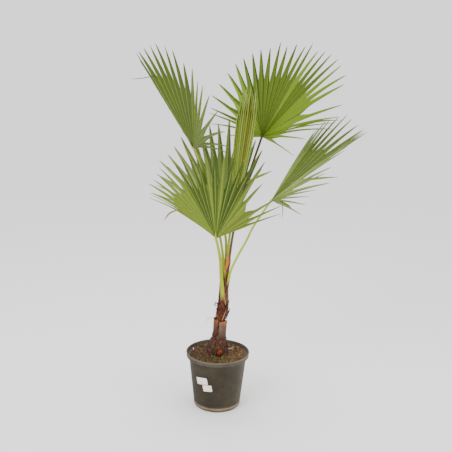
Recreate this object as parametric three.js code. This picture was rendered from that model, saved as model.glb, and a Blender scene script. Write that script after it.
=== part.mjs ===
// A young Mexican fan palm in a nursery pot: a short trunk with two cut leaf bases, a sheath of old leaf
// bases above it, five open fan fronds and one folded spear leaf, each on its own leaf stalk.
// Millimetres, +Z up, origin at the centre of the pot's flat underside.
import * as THREE from 'three';

// ---- driving dimensions -----------------------------------------------------------------------------

const CLEAR = 0.3; // air kept between pieces that touch

const POT = {
  height: 265,
  wall: 4,
  footRadius: 108.5,
  footRing: 11, // height of the thicker ring at the foot
  chamfer: 5, // at the edge of the underside
  shelfRadius: 135.5, // where the conical wall meets the rim
  rimRadius: 149,
  rimHeight: 22,
  bead: 1, // how far the lip stands out round the top of the rim
};
const SOIL = { level: 243, bump: 5, levelRadius: 62, rings: [80, 97, 114] };
const LABELS = [
  { name: 'label_upper', heading: -124, z: 157, width: 60, height: 34, tilt: 9 },
  { name: 'label_lower', heading: -111.2, z: 125, width: 45, height: 32, tilt: 7 },
];
const LABEL_THICK = 0.8;

// The trunk's stations: height, centre and half widths. It flares at the soil and leans to +X.
const TRUNK_TOP = 425;
const TRUNK = [
  { z: SOIL.level + CLEAR, x: 0, y: 0, rx: 52, ry: 47 },
  { z: 262, x: -2, y: 0, rx: 49, ry: 44 },
  { z: 290, x: -3, y: 0, rx: 46, ry: 41 },
  { z: 315, x: -1, y: 0, rx: 41, ry: 36 },
  { z: 337, x: 3, y: 0, rx: 31, ry: 29 },
  { z: 365, x: 7, y: 0, rx: 25, ry: 25 },
  { z: 400, x: 9, y: 0, rx: 24, ry: 24 },
  { z: TRUNK_TOP, x: 11, y: 0, rx: 23, ry: 23 },
];
const FLARE = { lobes: 5, depth: 0.09, height: 80 };

// The sheath is the column of old leaf bases that the living leaf stalks stand on.
const SHEATH_TOP = 698;
const SHEATH = [
  { z: TRUNK_TOP + CLEAR, x: 11, y: 0, rx: 24, ry: 23 },
  { z: 450, x: 15, y: 0, rx: 25.5, ry: 24 },
  { z: 485, x: 19, y: 0, rx: 24, ry: 23 },
  { z: 520, x: 22, y: 1, rx: 21.5, ry: 20 },
  { z: 570, x: 22, y: 3, rx: 18.5, ry: 18 },
  { z: 620, x: 23, y: 5, rx: 17, ry: 18 },
  { z: 663, x: 25, y: 6, rx: 18.5, ry: 18 },
  { z: SHEATH_TOP, x: 29, y: 6, rx: 20.5, ry: 19 },
];

// The two cut leaf bases clasp the stem: heading of the middle, half sweep, heights of foot and cut.
const CUT_BASES = [
  { name: 'cut_base_left', heading: 199, sweep: 50, foot: 345, cut: 431, thick: 8 },
  { name: 'cut_base_right', heading: -44, sweep: 60, foot: 335, cut: 420, thick: 9 },
];
const CHORD_SAG = 0.6; // how far their flat facets dip inside the round that they follow

// Every blade is a fan of pleated segments round its hub. heading, rise and roll (degrees) aim the
// midrib and turn the fan about it, and swing turns it in its own plane. Each half spreads from the
// midrib to its last segment, and has: a fold towards the upper face and a curl that changes it by the
// last segment; a swell, the last segment's share of the midrib's length and the power of the fall
// between them; a droop as a share of the length; a count of segments, evenly spaced over `even`
// degrees, and the turns of any loose ones past those, with a share of the usual length where it differs.
const FANS = [
  {
    name: 'upper_left', hub: [-126, 28, 1220], heading: 165, rise: 57, roll: -32, swing: -0.6, length: 510,
    bow: 0.02, united: 0.65, unitedEnd: 0.36,
    left: {
      spread: 106, fold: 13, curl: 0, end: 0.63, power: 2.4, droop: 0.15,
      count: 8, even: 57.5, loose: [58, 62.5, 68.5, 77.5, 87.5, 97, 101.5],
    },
    right: { spread: 67, fold: 14, curl: 0, swell: 0.03, end: 0.55, power: 1.8, droop: 0.03, count: 10 },
  },
  {
    name: 'upper_right', hub: [183, 116, 1267], heading: 46, rise: 60, swing: 1.2, length: 491,
    bow: 0.02, united: 0.63, unitedEnd: 0.23,
    left: {
      spread: 97, fold: 5, curl: 12, swell: 0.23, end: 0.35, power: 2.6, droop: 0.13,
      count: 9, even: 50.7, loose: [55.5, 64, 71.5, 75, 82, 94, 102.5],
    },
    right: {
      spread: 107, fold: 8, curl: 0, swell: 0.02, end: 0.41, power: 4, droop: 0.11,
      count: 9, even: 54.3, loose: [63.4, 69.5, 72.5, 76, [85, 0.75], 101.5],
    },
  },
  {
    name: 'right', hub: [228, -22, 1000], heading: -8, rise: 39, length: 531,
    bow: 0, united: 0.65, unitedEnd: 0.25,
    left: { spread: 79, fold: 34, curl: -38, swell: -0.02, end: 0.65, power: 4, droop: 0.05, count: 13 },
    right: {
      spread: 76, fold: 10, curl: -20, swell: -0.03, end: 0.8, power: 3.8, droop: 0.03,
      count: 4, even: 25, loose: [31, 37, 47.5, 51, [57.6, 1.2], 60, 63.2, 67.2, 71.3],
    },
  },
  {
    name: 'front', hub: [-17, -52, 825.5], heading: -98, rise: 60, swing: -0.5, length: 480,
    bow: 0.02, united: 0.63, unitedEnd: 0.53,
    left: {
      spread: 65, fold: 7, curl: 0, swell: 0.05, end: 0.67, power: 1.9, droop: 0.01,
      count: 6, even: 29.6, loose: [[33.6, 0.87], 48.3, 55.4, 62],
    },
    right: {
      spread: 56, fold: 9, curl: 6, swell: 0.06, end: 0.76, power: 2.3, droop: 0.17,
      count: 11, even: 49, loose: [48.8, 50.8],
    },
  },
  {
    name: 'rear', hub: [20, 52, 841], heading: 95, rise: 79, swing: -0.3, length: 521,
    bow: 0.02, united: 0.68,
    left: { spread: 59, fold: -2, curl: -15, swell: 0.04, end: 0.77, power: 1.8, droop: 0.13, count: 11 },
    right: {
      spread: 36, fold: 5, curl: 0, swell: 0.02, end: 0.58, power: 2.1, droop: 0.05,
      count: 6, even: 32, loose: [36],
    },
  },
  {
    name: 'spear', hub: [63, 0, 963], heading: 0, rise: 84, roll: 90, length: 538,
    bow: 0, collar: 14, gather: 0.67, half: 4, pleat: 1.2, united: 0.84, unitedEnd: 0.76,
    left: { spread: 13.5, fold: 0, curl: 0, end: 0.95, droop: 0, count: 5 },
    right: { spread: 13.5, fold: 0, curl: 0, end: 0.86, droop: 0, count: 5 },
  },
];
const BLADE = {
  half: 2.6, // half the thickness out to the clefts
  tipHalf: 1.2, // half the thickness at the tips
  pleat: 0.26, // height of a pleat as a share of its width
  united: 0.55, // share of the length where neighbouring segments are joined
  unitedEnd: 0.32, // the same at the outermost segments
  cleftJitter: 0.07, // how unequal the clefts are, as a share of their depth
  tipJitter: 0.035, // how unequal the segments are, as a share of their length
  freeWidth: 1.1, // widest half of a free segment, in half spacings
  gather: 0, // share of the spread that the segments lose by bending together towards their tips
  collar: 7.2, // radius of the fan's inner edge round the stalk's end
};
const FREE_STATIONS = [0.32, 0.66]; // along the free part of a segment, before its tip
const HALF = { swell: 0, power: 2, loose: [] };

// The leaf stalks: width and depth at the base, width at the other end, and centre points from the sheath
// to just below the hub. Four stand on the sheath's top and two against its side.
const STALK_FOOT = SHEATH_TOP + CLEAR;
const STALKS = {
  upper_left: {
    base: 16,
    depth: 12,
    end: 10.5,
    path: [[18.5, -4, STALK_FOOT], [12, -6, 760], [1.5, -4, 816], [-41, 5, 976], [-80, 14, 1102]],
  },
  upper_right: {
    base: 11,
    depth: 10,
    end: 10,
    path: [
      [43.5, 12, STALK_FOOT], [53, 18, 778], [61, 22, 834], [86, 40, 939], [111, 65, 1047], [150, 92, 1168],
    ],
  },
  right: {
    base: 17,
    depth: 15,
    end: 10.5,
    path: [[42.6, -8, 612], [49, -12, 655], [75, -17, 722], [121, -20, 813], [146, -21, 870]],
  },
  front: {
    base: 20,
    depth: 11,
    end: 11.5,
    path: [[16.5, -22.3, 520], [16, -21.2, 570], [10, -29, 640], [4, -38, 721], [-8.5, -46, 788]],
  },
  rear: { base: 13, depth: 11, end: 10.5, path: [[29, 17, STALK_FOOT], [29.5, 22, 743], [27, 40, 800]] },
  spear: {
    base: 12.5,
    depth: 11,
    end: 10,
    path: [[35, 0, STALK_FOOT], [37.5, 0, 740], [45, 0, 830], [54, 0, 900]],
  },
};
const STALK_TAPER = 1.1; // power of the widening towards the base
const NOSE = { width: 0.6, length: 0.32 }; // the round end at the hub, as shares of the end's width
const STALK_STEPS = 13;
const STALK_SIDES = 8;

const LOOKS = {
  pot: { color: 0x4a4238, roughness: 0.6, metalness: 0 },
  soil: { color: 0x5a4433, roughness: 0.95, metalness: 0 },
  trunk: { color: 0x5e3a2e, roughness: 0.9, metalness: 0 },
  cut_base: { color: 0x7a4632, roughness: 0.85, metalness: 0 },
  sheath: { color: 0x7b4a30, roughness: 0.85, metalness: 0 },
  stalk: { color: 0xa3b04a, roughness: 0.5, metalness: 0 },
  blade: { color: 0x7f9a3c, roughness: 0.55, metalness: 0 },
  label: { color: 0xf2f1ec, roughness: 0.7, metalness: 0 },
};

// ---- helpers ----------------------------------------------------------------------------------------

const UP = new THREE.Vector3(0, 0, 1);
const rad = THREE.MathUtils.degToRad;
const lerp = THREE.MathUtils.lerp;

// A repeatable number from -1 to 1 for the item of that index, different for each seed.
function jitter(index, seed) {
  const value = Math.sin(index * 12.9898 + seed * 78.233) * 43758.5453;
  return 2 * (value - Math.floor(value)) - 1;
}

function piece(name, geometry, look) {
  const mesh = new THREE.Mesh(geometry, new THREE.MeshStandardMaterial(LOOKS[look]));
  mesh.name = name;
  return mesh;
}

function geometryOf(points, triangles) {
  const geometry = new THREE.BufferGeometry();
  const places = points.flatMap((p) => [p.x, p.y, p.z]);
  geometry.setAttribute('position', new THREE.Float32BufferAttribute(places, 3));
  geometry.setIndex(triangles.flat());
  geometry.computeVertexNormals();
  return geometry;
}

// A closed solid through rings of equally and evenly many points, counter-clockwise seen from the last
// ring. A strip that joins each ring's first half of points to its second half closes both ends.
function loft(rings) {
  const sides = rings[0].length;
  const points = rings.flat();
  const triangles = [];
  for (let j = 0; j + 1 < rings.length; j += 1) {
    for (let i = 0; i < sides; i += 1) {
      const a = j * sides + i;
      const b = j * sides + ((i + 1) % sides);
      triangles.push([a, b, b + sides], [a, b + sides, a + sides]);
    }
  }
  const end = (rings.length - 1) * sides;
  for (let i = 0; i + 1 < sides / 2; i += 1) {
    const [a, b, c, d] = [i, i + 1, sides - 2 - i, sides - 1 - i];
    triangles.push([c, b, a], [d, c, a]);
    triangles.push([end + a, end + b, end + c], [end + a, end + c, end + d]);
  }
  return geometryOf(points, triangles);
}

function turned(profile, segments) {
  const geometry = new THREE.LatheGeometry(profile.map(([r, z]) => new THREE.Vector2(r, z)), segments);
  return geometry.rotateX(Math.PI / 2);
}

// ---- pot, soil and labels ---------------------------------------------------------------------------

const shelf = POT.height - POT.rimHeight;

// Outer radius of the conical wall at a height.
function wallRadius(z) {
  return lerp(POT.footRadius, POT.shelfRadius, z / shelf);
}

function pot() {
  const { height, wall, chamfer, footRing, shelfRadius, rimRadius, bead } = POT;
  const band = rimRadius - bead;
  const underside = [[0, 0], [wallRadius(0) - chamfer, 0], [wallRadius(0), chamfer]];
  const outside = [
    [wallRadius(footRing) + 1.2, footRing], [wallRadius(footRing + 3), footRing + 3],
    [shelfRadius, shelf], [band - 1, shelf + 1], [band, height - 6],
  ];
  const lip = [[rimRadius, height - 4], [rimRadius, height - 1], [band, height], [band - wall, height]];
  const inside = [
    [band - wall - 2, shelf + 5], [shelfRadius - wall, shelf + 1],
    [wallRadius(wall) - wall, wall], [0, wall],
  ];
  return piece('pot', turned([...underside, ...outside, ...lip, ...inside], 48), 'pot');
}

// The potting soil is level round the trunk and uneven outside it.
function soil() {
  const inner = (z) => wallRadius(z) - POT.wall - CLEAR;
  const floor = POT.wall + CLEAR;
  const edge = [inner(SOIL.level) - 1.5, SOIL.level - 4];
  const top = [0, SOIL.levelRadius, ...SOIL.rings].reverse().map((r) => [r, SOIL.level]);
  const profile = [[0, floor], [inner(floor), floor], edge, ...top];
  const geometry = turned(profile, 36);
  const place = geometry.attributes.position;
  for (let i = 0; i < place.count; i += 1) {
    const [x, y, z] = [place.getX(i), place.getY(i), place.getZ(i)];
    if (z > SOIL.level - 1 && Math.hypot(x, y) > SOIL.levelRadius + 1) {
      const wave = Math.sin(x * 0.083 + 1.1) * Math.cos(y * 0.071) + 0.5 * Math.sin(x * 0.19 - y * 0.16);
      place.setZ(i, z + SOIL.bump * 0.5 * wave);
    }
  }
  return piece('soil', geometry, 'soil');
}

// A label lies on the wall, turned by its tilt in the plane of the wall.
function label({ name, heading, z, width, height, tilt }) {
  const columns = 8;
  const turn = rad(tilt);
  const rings = [];
  for (let i = 0; i <= columns; i += 1) {
    const across = (i / columns - 0.5) * width;
    const corner = (up, out) => {
      const alongWall = across * Math.cos(turn) - up * Math.sin(turn);
      const level = z + across * Math.sin(turn) + up * Math.cos(turn);
      const radius = wallRadius(level) + CLEAR + out;
      const angle = rad(heading) + alongWall / wallRadius(z);
      return new THREE.Vector3(radius * Math.cos(angle), radius * Math.sin(angle), level);
    };
    rings.push([
      corner(-height / 2, 0), corner(height / 2, 0),
      corner(height / 2, LABEL_THICK), corner(-height / 2, LABEL_THICK),
    ]);
  }
  return piece(name, loft(rings), 'label');
}

// ---- trunk, cut leaf bases and sheath ---------------------------------------------------------------

// The centre and half widths of a stem at a height, between its stations.
function stemAt(stations, z) {
  const last = stations.length - 2;
  const index = Math.min(last, Math.max(0, stations.findIndex((s) => s.z > z) - 1));
  const [a, b] = [stations[index], stations[index + 1]];
  const share = THREE.MathUtils.clamp((z - a.z) / (b.z - a.z), 0, 1);
  const mix = (key) => lerp(a[key], b[key], share);
  return { x: mix('x'), y: mix('y'), rx: mix('rx'), ry: mix('ry') };
}

function stem(stations, sides, relief) {
  return loft(stations.map(({ z, x, y, rx, ry }) => Array.from({ length: sides }, (_, i) => {
    const angle = (2 * Math.PI * i) / sides;
    const swell = 1 + relief(angle, z);
    return new THREE.Vector3(x + rx * swell * Math.cos(angle), y + ry * swell * Math.sin(angle), z);
  })));
}

function trunk() {
  const flare = (angle, z) => {
    const fade = Math.max(0, 1 - (z - SOIL.level) / FLARE.height);
    return FLARE.depth * fade * Math.sin(FLARE.lobes * angle + 0.6);
  };
  return piece('trunk', stem(TRUNK, 30, flare), 'trunk');
}

function sheath() {
  return piece('leaf_sheath', stem(SHEATH, 24, () => 0), 'sheath');
}

// The trunk and the sheath as one stem, widest of the two at a height, for what clasps them.
function clasp(z) {
  return stemAt(z < TRUNK_TOP ? TRUNK : SHEATH, z);
}

// A crescent in plan, thickest in its middle, that widens upward to the cut.
function cutBase({ name, heading, sweep, foot, cut, thick }) {
  const steps = 5;
  const across = 10;
  const rings = [];
  for (let j = 0; j <= steps; j += 1) {
    const z = lerp(foot, cut, j / steps);
    const grown = lerp(0.45, 1, j / steps);
    const { x, y, rx, ry } = clasp(z);
    const wall = (angle, out) => {
      const at = rad(heading + angle);
      const reach = CLEAR + CHORD_SAG + out;
      return new THREE.Vector3(x + (rx + reach) * Math.cos(at), y + (ry + reach) * Math.sin(at), z);
    };
    const outer = [];
    const inner = [];
    for (let i = 0; i <= across; i += 1) {
      const share = (2 * i) / across - 1;
      const angle = share * sweep * (0.6 + 0.4 * grown);
      outer.push(wall(angle, 1.2 + thick * grown * (1 - share * share)));
      inner.push(wall(-angle, 0));
    }
    rings.push([...outer, ...inner]);
  }
  return piece(name, loft(rings), 'cut_base');
}

// ---- fronds -----------------------------------------------------------------------------------------

// The fan's own directions: along is the midrib, side its right-hand side and face its upper face.
function aim({ heading, rise, roll = 0, swing = 0 }) {
  const [h, r, turn] = [rad(heading), rad(rise), rad(-roll)];
  const along = new THREE.Vector3(Math.cos(r) * Math.cos(h), Math.cos(r) * Math.sin(h), Math.sin(r));
  const flatFace = new THREE.Vector3(-Math.sin(r) * Math.cos(h), -Math.sin(r) * Math.sin(h), Math.cos(r));
  const side = along.clone().cross(flatFace).applyAxisAngle(along, turn);
  const face = flatFace.applyAxisAngle(along, turn);
  return { along: along.applyAxisAngle(face, rad(-swing)), side: side.applyAxisAngle(face, rad(-swing)), face };
}

// The direction, upper face, length and droop of the fan at a turn from the midrib, left ones negative.
function rayAt(fan, turn) {
  const half = turn < 0 ? fan.left : fan.right;
  const sign = turn < 0 ? -1 : 1;
  const place = Math.abs(turn) / half.spread;
  const { along, side, face } = fan.aim;
  const fold = rad(half.fold + half.curl * place * place);
  const flat = side.clone().multiplyScalar(sign);
  const outward = flat.multiplyScalar(Math.cos(fold)).addScaledVector(face, Math.sin(fold));
  const angle = rad(Math.abs(turn));
  const midrib = along.clone().multiplyScalar(Math.cos(angle));
  const direction = midrib.addScaledVector(outward, Math.sin(angle));
  const upper = outward.clone().cross(along).multiplyScalar(sign);
  const fall = (1 + half.swell - half.end) * place ** half.power;
  return {
    direction,
    upper,
    length: fan.length * (1 + half.swell * place - fall),
    droop: half.droop * place * place + fan.bow,
  };
}

// A point of the fan's sheet at a distance from the hub, lifted off it along the upper face.
function sheetPoint(fan, turn, distance, lift) {
  const { length, droop } = rayAt(fan, turn);
  const share = distance / length;
  const { direction, upper } = rayAt(fan, turn * (1 - fan.gather * share));
  return fan.hubPoint.clone().addScaledVector(direction, distance)
    .addScaledVector(UP, -droop * length * share * share).addScaledVector(upper, lift);
}

// Collects the two faces of a thin sheet and the walls that close its free edges.
class Sheet {
  constructor() {
    this.points = [];
    this.triangles = [];
  }

  corner(fan, turn, distance, lift, half) {
    const upper = this.points.push(sheetPoint(fan, turn, distance, lift + half)) - 1;
    this.points.push(sheetPoint(fan, turn, distance, lift - half));
    return upper;
  }

  triangle(a, b, c) {
    this.triangles.push([a, b, c], [c + 1, b + 1, a + 1]);
  }

  quad(a, b, c, d) {
    this.triangle(a, b, c);
    this.triangle(a, c, d);
  }

  wall(a, b) {
    this.triangles.push([b, a, a + 1], [b, a + 1, b + 1]);
  }
}

// The turns of one half's segments from the midrib outward, their outer edges, and the share of the
// length at which the cleft past each of them begins and that each of them reaches.
function halfOf(fan, half) {
  const step = (half.even ?? half.spread) / half.count;
  const even = Array.from({ length: half.count }, (_, i) => (i + 0.5) * step);
  const loose = half.loose.map((item) => [item].flat());
  const turns = [...even, ...loose.map(([turn]) => turn)];
  const reaches = [...even.map(() => 1), ...loose.map(([, reach = 1]) => reach)];
  const edges = turns.map((turn, i) => (turn + (turns[i + 1] ?? turn + step)) / 2);
  const shares = edges.map((edge, i) => {
    const fade = half.loose.length
      ? Math.max(0, i + 2 - half.count) / (half.loose.length + 1)
      : THREE.MathUtils.smoothstep(edge / half.spread, 0.6, 1);
    return lerp(fan.united, fan.unitedEnd, fade);
  });
  return { step, turns, edges, shares, reaches };
}

// One blade: segments joined out to the clefts and free beyond them, each pleated to a rib.
function blade(spec, seed) {
  const fan = { ...BLADE, ...spec, aim: aim(spec), hubPoint: new THREE.Vector3(...spec.hub) };
  fan.left = { ...HALF, ...spec.left };
  fan.right = { ...HALF, ...spec.right };
  const [l, r] = [halfOf(fan, fan.left), halfOf(fan, fan.right)];
  const mirrored = (list) => list.map((turn) => -turn).reverse();
  const turns = [...mirrored(l.turns), ...r.turns];
  const edges = [...mirrored(l.edges), 0, ...r.edges];
  const shares = [...l.shares.slice().reverse(), fan.united, ...r.shares];
  const reaches = [...l.reaches.slice().reverse(), ...r.reaches];
  const uneven = (share, index) => 1 + share * jitter(index, seed);
  const clefts = edges.map(
    (edge, k) => shares[k] * uneven(fan.cleftJitter, k) * rayAt(fan, edge).length,
  );
  const ridge = (turn) => fan.pleat * 0.5 * rad((turn < 0 ? l : r).step);

  const sheet = new Sheet();
  const inner = (reach) => [fan.collar, lerp(fan.collar, reach, 0.5), reach];
  const marginOf = (k) => inner(clefts[k]).map(
    (distance) => sheet.corner(fan, edges[k], distance, ridge(edges[k]) * distance, fan.half),
  );

  let left = marginOf(0);
  turns.forEach((turn, k) => {
    const right = marginOf(k + 1);
    const ribCleft = (clefts[k] + clefts[k + 1]) / 2;
    const tip = rayAt(fan, turn).length * uneven(fan.tipJitter, k + 0.5) * reaches[k];
    const rib = inner(ribCleft).map((d) => sheet.corner(fan, turn, d, -ridge(turn) * d, fan.half));
    for (let j = 0; j < 2; j += 1) {
      sheet.quad(left[j], rib[j], rib[j + 1], left[j + 1]);
      sheet.quad(rib[j], right[j], right[j + 1], rib[j + 1]);
    }
    sheet.wall(left[0], rib[0]);
    sheet.wall(rib[0], right[0]);
    if (k === 0) {
      sheet.wall(left[1], left[0]);
      sheet.wall(left[2], left[1]);
    }
    if (k === turns.length - 1) {
      sheet.wall(right[0], right[1]);
      sheet.wall(right[1], right[2]);
    }

    // Beyond the clefts the segment narrows to its tip.
    const widest = ((turn < 0 ? l : r).step / 2) * fan.freeWidth;
    let row = [left[2], rib[2], right[2]];
    for (const share of FREE_STATIONS) {
      const taper = 1 - share ** 1.25;
      const half = lerp(fan.half, fan.tipHalf, share);
      const lift = ridge(turn) * ribCleft * taper;
      const side = (edge, from) => {
        const distance = lerp(from, tip, share);
        const away = THREE.MathUtils.clamp(edge - turn, -widest, widest) * (from / distance) * taper;
        return sheet.corner(fan, turn + away, distance, lift, half);
      };
      const next = [
        side(edges[k], clefts[k]),
        sheet.corner(fan, turn, lerp(ribCleft, tip, share), -lift, half),
        side(edges[k + 1], clefts[k + 1]),
      ];
      sheet.quad(row[0], row[1], next[1], next[0]);
      sheet.quad(row[1], row[2], next[2], next[1]);
      sheet.wall(next[0], row[0]);
      sheet.wall(row[2], next[2]);
      row = next;
    }
    const point = sheet.corner(fan, turn, tip, 0, fan.tipHalf);
    sheet.triangle(row[0], row[1], point);
    sheet.triangle(row[1], row[2], point);
    sheet.wall(point, row[0]);
    sheet.wall(row[2], point);
    left = right;
  });
  return piece(`blade_${spec.name}`, geometryOf(sheet.points, sheet.triangles), 'blade');
}

// One leaf stalk: rounded below, flatter on its upper side, narrowing to a round end at the hub.
function stalk(spec) {
  const { base, depth, end, path } = STALKS[spec.name];
  const { along, face } = aim(spec);
  const collar = spec.collar ?? BLADE.collar;
  const tipWidth = NOSE.width * end;
  const tipReach = Math.sqrt((collar - CLEAR) ** 2 - (tipWidth / 2) ** 2);
  const nose = new THREE.Vector3(...spec.hub).addScaledVector(along, tipReach - NOSE.length * end);
  const curve = new THREE.CatmullRomCurve3([...path.map((p) => new THREE.Vector3(...p)), nose]);
  const ring = (centre, tangent, width, deep) => {
    const across = tangent.clone().cross(face).normalize();
    const above = across.clone().cross(tangent).normalize();
    return Array.from({ length: STALK_SIDES }, (_, i) => {
      const angle = (2 * Math.PI * (i + 0.5)) / STALK_SIDES;
      const rise = -Math.sin(angle) * (Math.sin(angle) > 0 ? 1 : 0.7);
      return centre.clone().addScaledVector(across, (width / 2) * Math.cos(angle))
        .addScaledVector(above, (deep / 2) * rise);
    });
  };
  const rings = [];
  for (let j = 0; j <= STALK_STEPS; j += 1) {
    const share = j / STALK_STEPS;
    const thicken = (1 - share) ** STALK_TAPER;
    const tangent = j === 0 ? UP : curve.getTangentAt(share);
    rings.push(ring(curve.getPointAt(share), tangent, lerp(end, base, thicken), lerp(end, depth, thicken)));
  }
  const tip = nose.clone().addScaledVector(along, NOSE.length * end);
  rings.push(ring(tip, along, tipWidth, tipWidth));
  return piece(`stalk_${spec.name}`, loft(rings), 'stalk');
}

// ---- the whole plant --------------------------------------------------------------------------------

const palm = new THREE.Group();
palm.add(pot(), soil(), trunk(), sheath());
CUT_BASES.forEach((spec) => palm.add(cutBase(spec)));
FANS.forEach((spec, index) => palm.add(stalk(spec), blade(spec, index + 1)));
LABELS.forEach((spec) => palm.add(label(spec)));

export default palm;
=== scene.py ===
# The visual model of a young Mexican fan palm in a nursery pot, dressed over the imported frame.
# Lengths are in millimetres until a mesh is made. +Z is up, the origin is under the pot's middle.
import math

import bpy
from mathutils import Matrix, Vector, noise


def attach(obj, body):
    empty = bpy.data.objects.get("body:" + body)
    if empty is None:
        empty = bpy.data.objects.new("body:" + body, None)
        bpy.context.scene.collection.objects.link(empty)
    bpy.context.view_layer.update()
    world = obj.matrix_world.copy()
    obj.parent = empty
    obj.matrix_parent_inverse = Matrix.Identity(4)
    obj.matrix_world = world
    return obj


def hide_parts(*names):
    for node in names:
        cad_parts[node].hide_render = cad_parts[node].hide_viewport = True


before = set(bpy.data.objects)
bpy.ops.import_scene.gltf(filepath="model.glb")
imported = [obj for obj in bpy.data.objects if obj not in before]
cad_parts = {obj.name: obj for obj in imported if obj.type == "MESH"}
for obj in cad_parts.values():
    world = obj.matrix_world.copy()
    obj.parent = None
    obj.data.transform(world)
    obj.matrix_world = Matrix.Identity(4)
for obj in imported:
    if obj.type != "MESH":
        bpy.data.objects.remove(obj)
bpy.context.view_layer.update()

MM = 0.001
UP = Vector((0, 0, 1))
UPRIGHT, SIDEWAYS = "Z", "X"

# ---- sizes ----

# The pot's underside is hollowed to the recess, whose edge and foot lie that far in from the foot's radius.
POT = {
    "height": 265,
    "wall": 4,
    "foot_radius": 108.5,
    "foot_ring": 11,
    "chamfer": 5,
    "recess": 2.5,
    "recess_edge": 22,
    "recess_foot": 16,
    "shelf_radius": 135.5,
    "rim_radius": 149,
    "rim_height": 22,
    "bead": 1,
}
SHELF = POT["height"] - POT["rim_height"]
SOIL_LEVEL = 243

LABELS = [
    {"name": "label_upper", "heading": -124, "z": 157, "width": 60, "height": 34, "tilt": 9, "peel": 2.5},
    {"name": "label_lower", "heading": -111.2, "z": 125, "width": 45, "height": 32, "tilt": 7, "peel": 1.2},
]

# Stations of the stem: height, centre and half widths, with a trunk below and old leaf bases above.
TRUNK_TOP = 425
TRUNK = [
    (SOIL_LEVEL - 4, 0, 0, 53, 48),
    (262, -2, 0, 49, 44),
    (290, -3, 0, 46, 41),
    (315, -1, 0, 41, 36),
    (337, 3, 0, 31, 29),
    (365, 7, 0, 25, 25),
    (400, 9, 0, 24, 24),
    (TRUNK_TOP, 11, 0, 23, 23),
]
SHEATH = [
    (TRUNK_TOP, 11, 0, 24, 23),
    (450, 15, 0, 25.5, 24),
    (485, 19, 0, 24, 23),
    (520, 22, 1, 21.5, 20),
    (570, 22, 3, 18.5, 18),
    (620, 23, 5, 17, 18),
    (663, 25, 6, 18.5, 18),
    (698, 29, 6, 20.5, 19),
]

CUT_BASES = [
    {"name": "cut_base_left", "heading": 199, "sweep": 50, "foot": 345, "cut": 431, "thick": 8},
    {"name": "cut_base_right", "heading": -44, "sweep": 60, "foot": 335, "cut": 420, "thick": 9},
]

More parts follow.
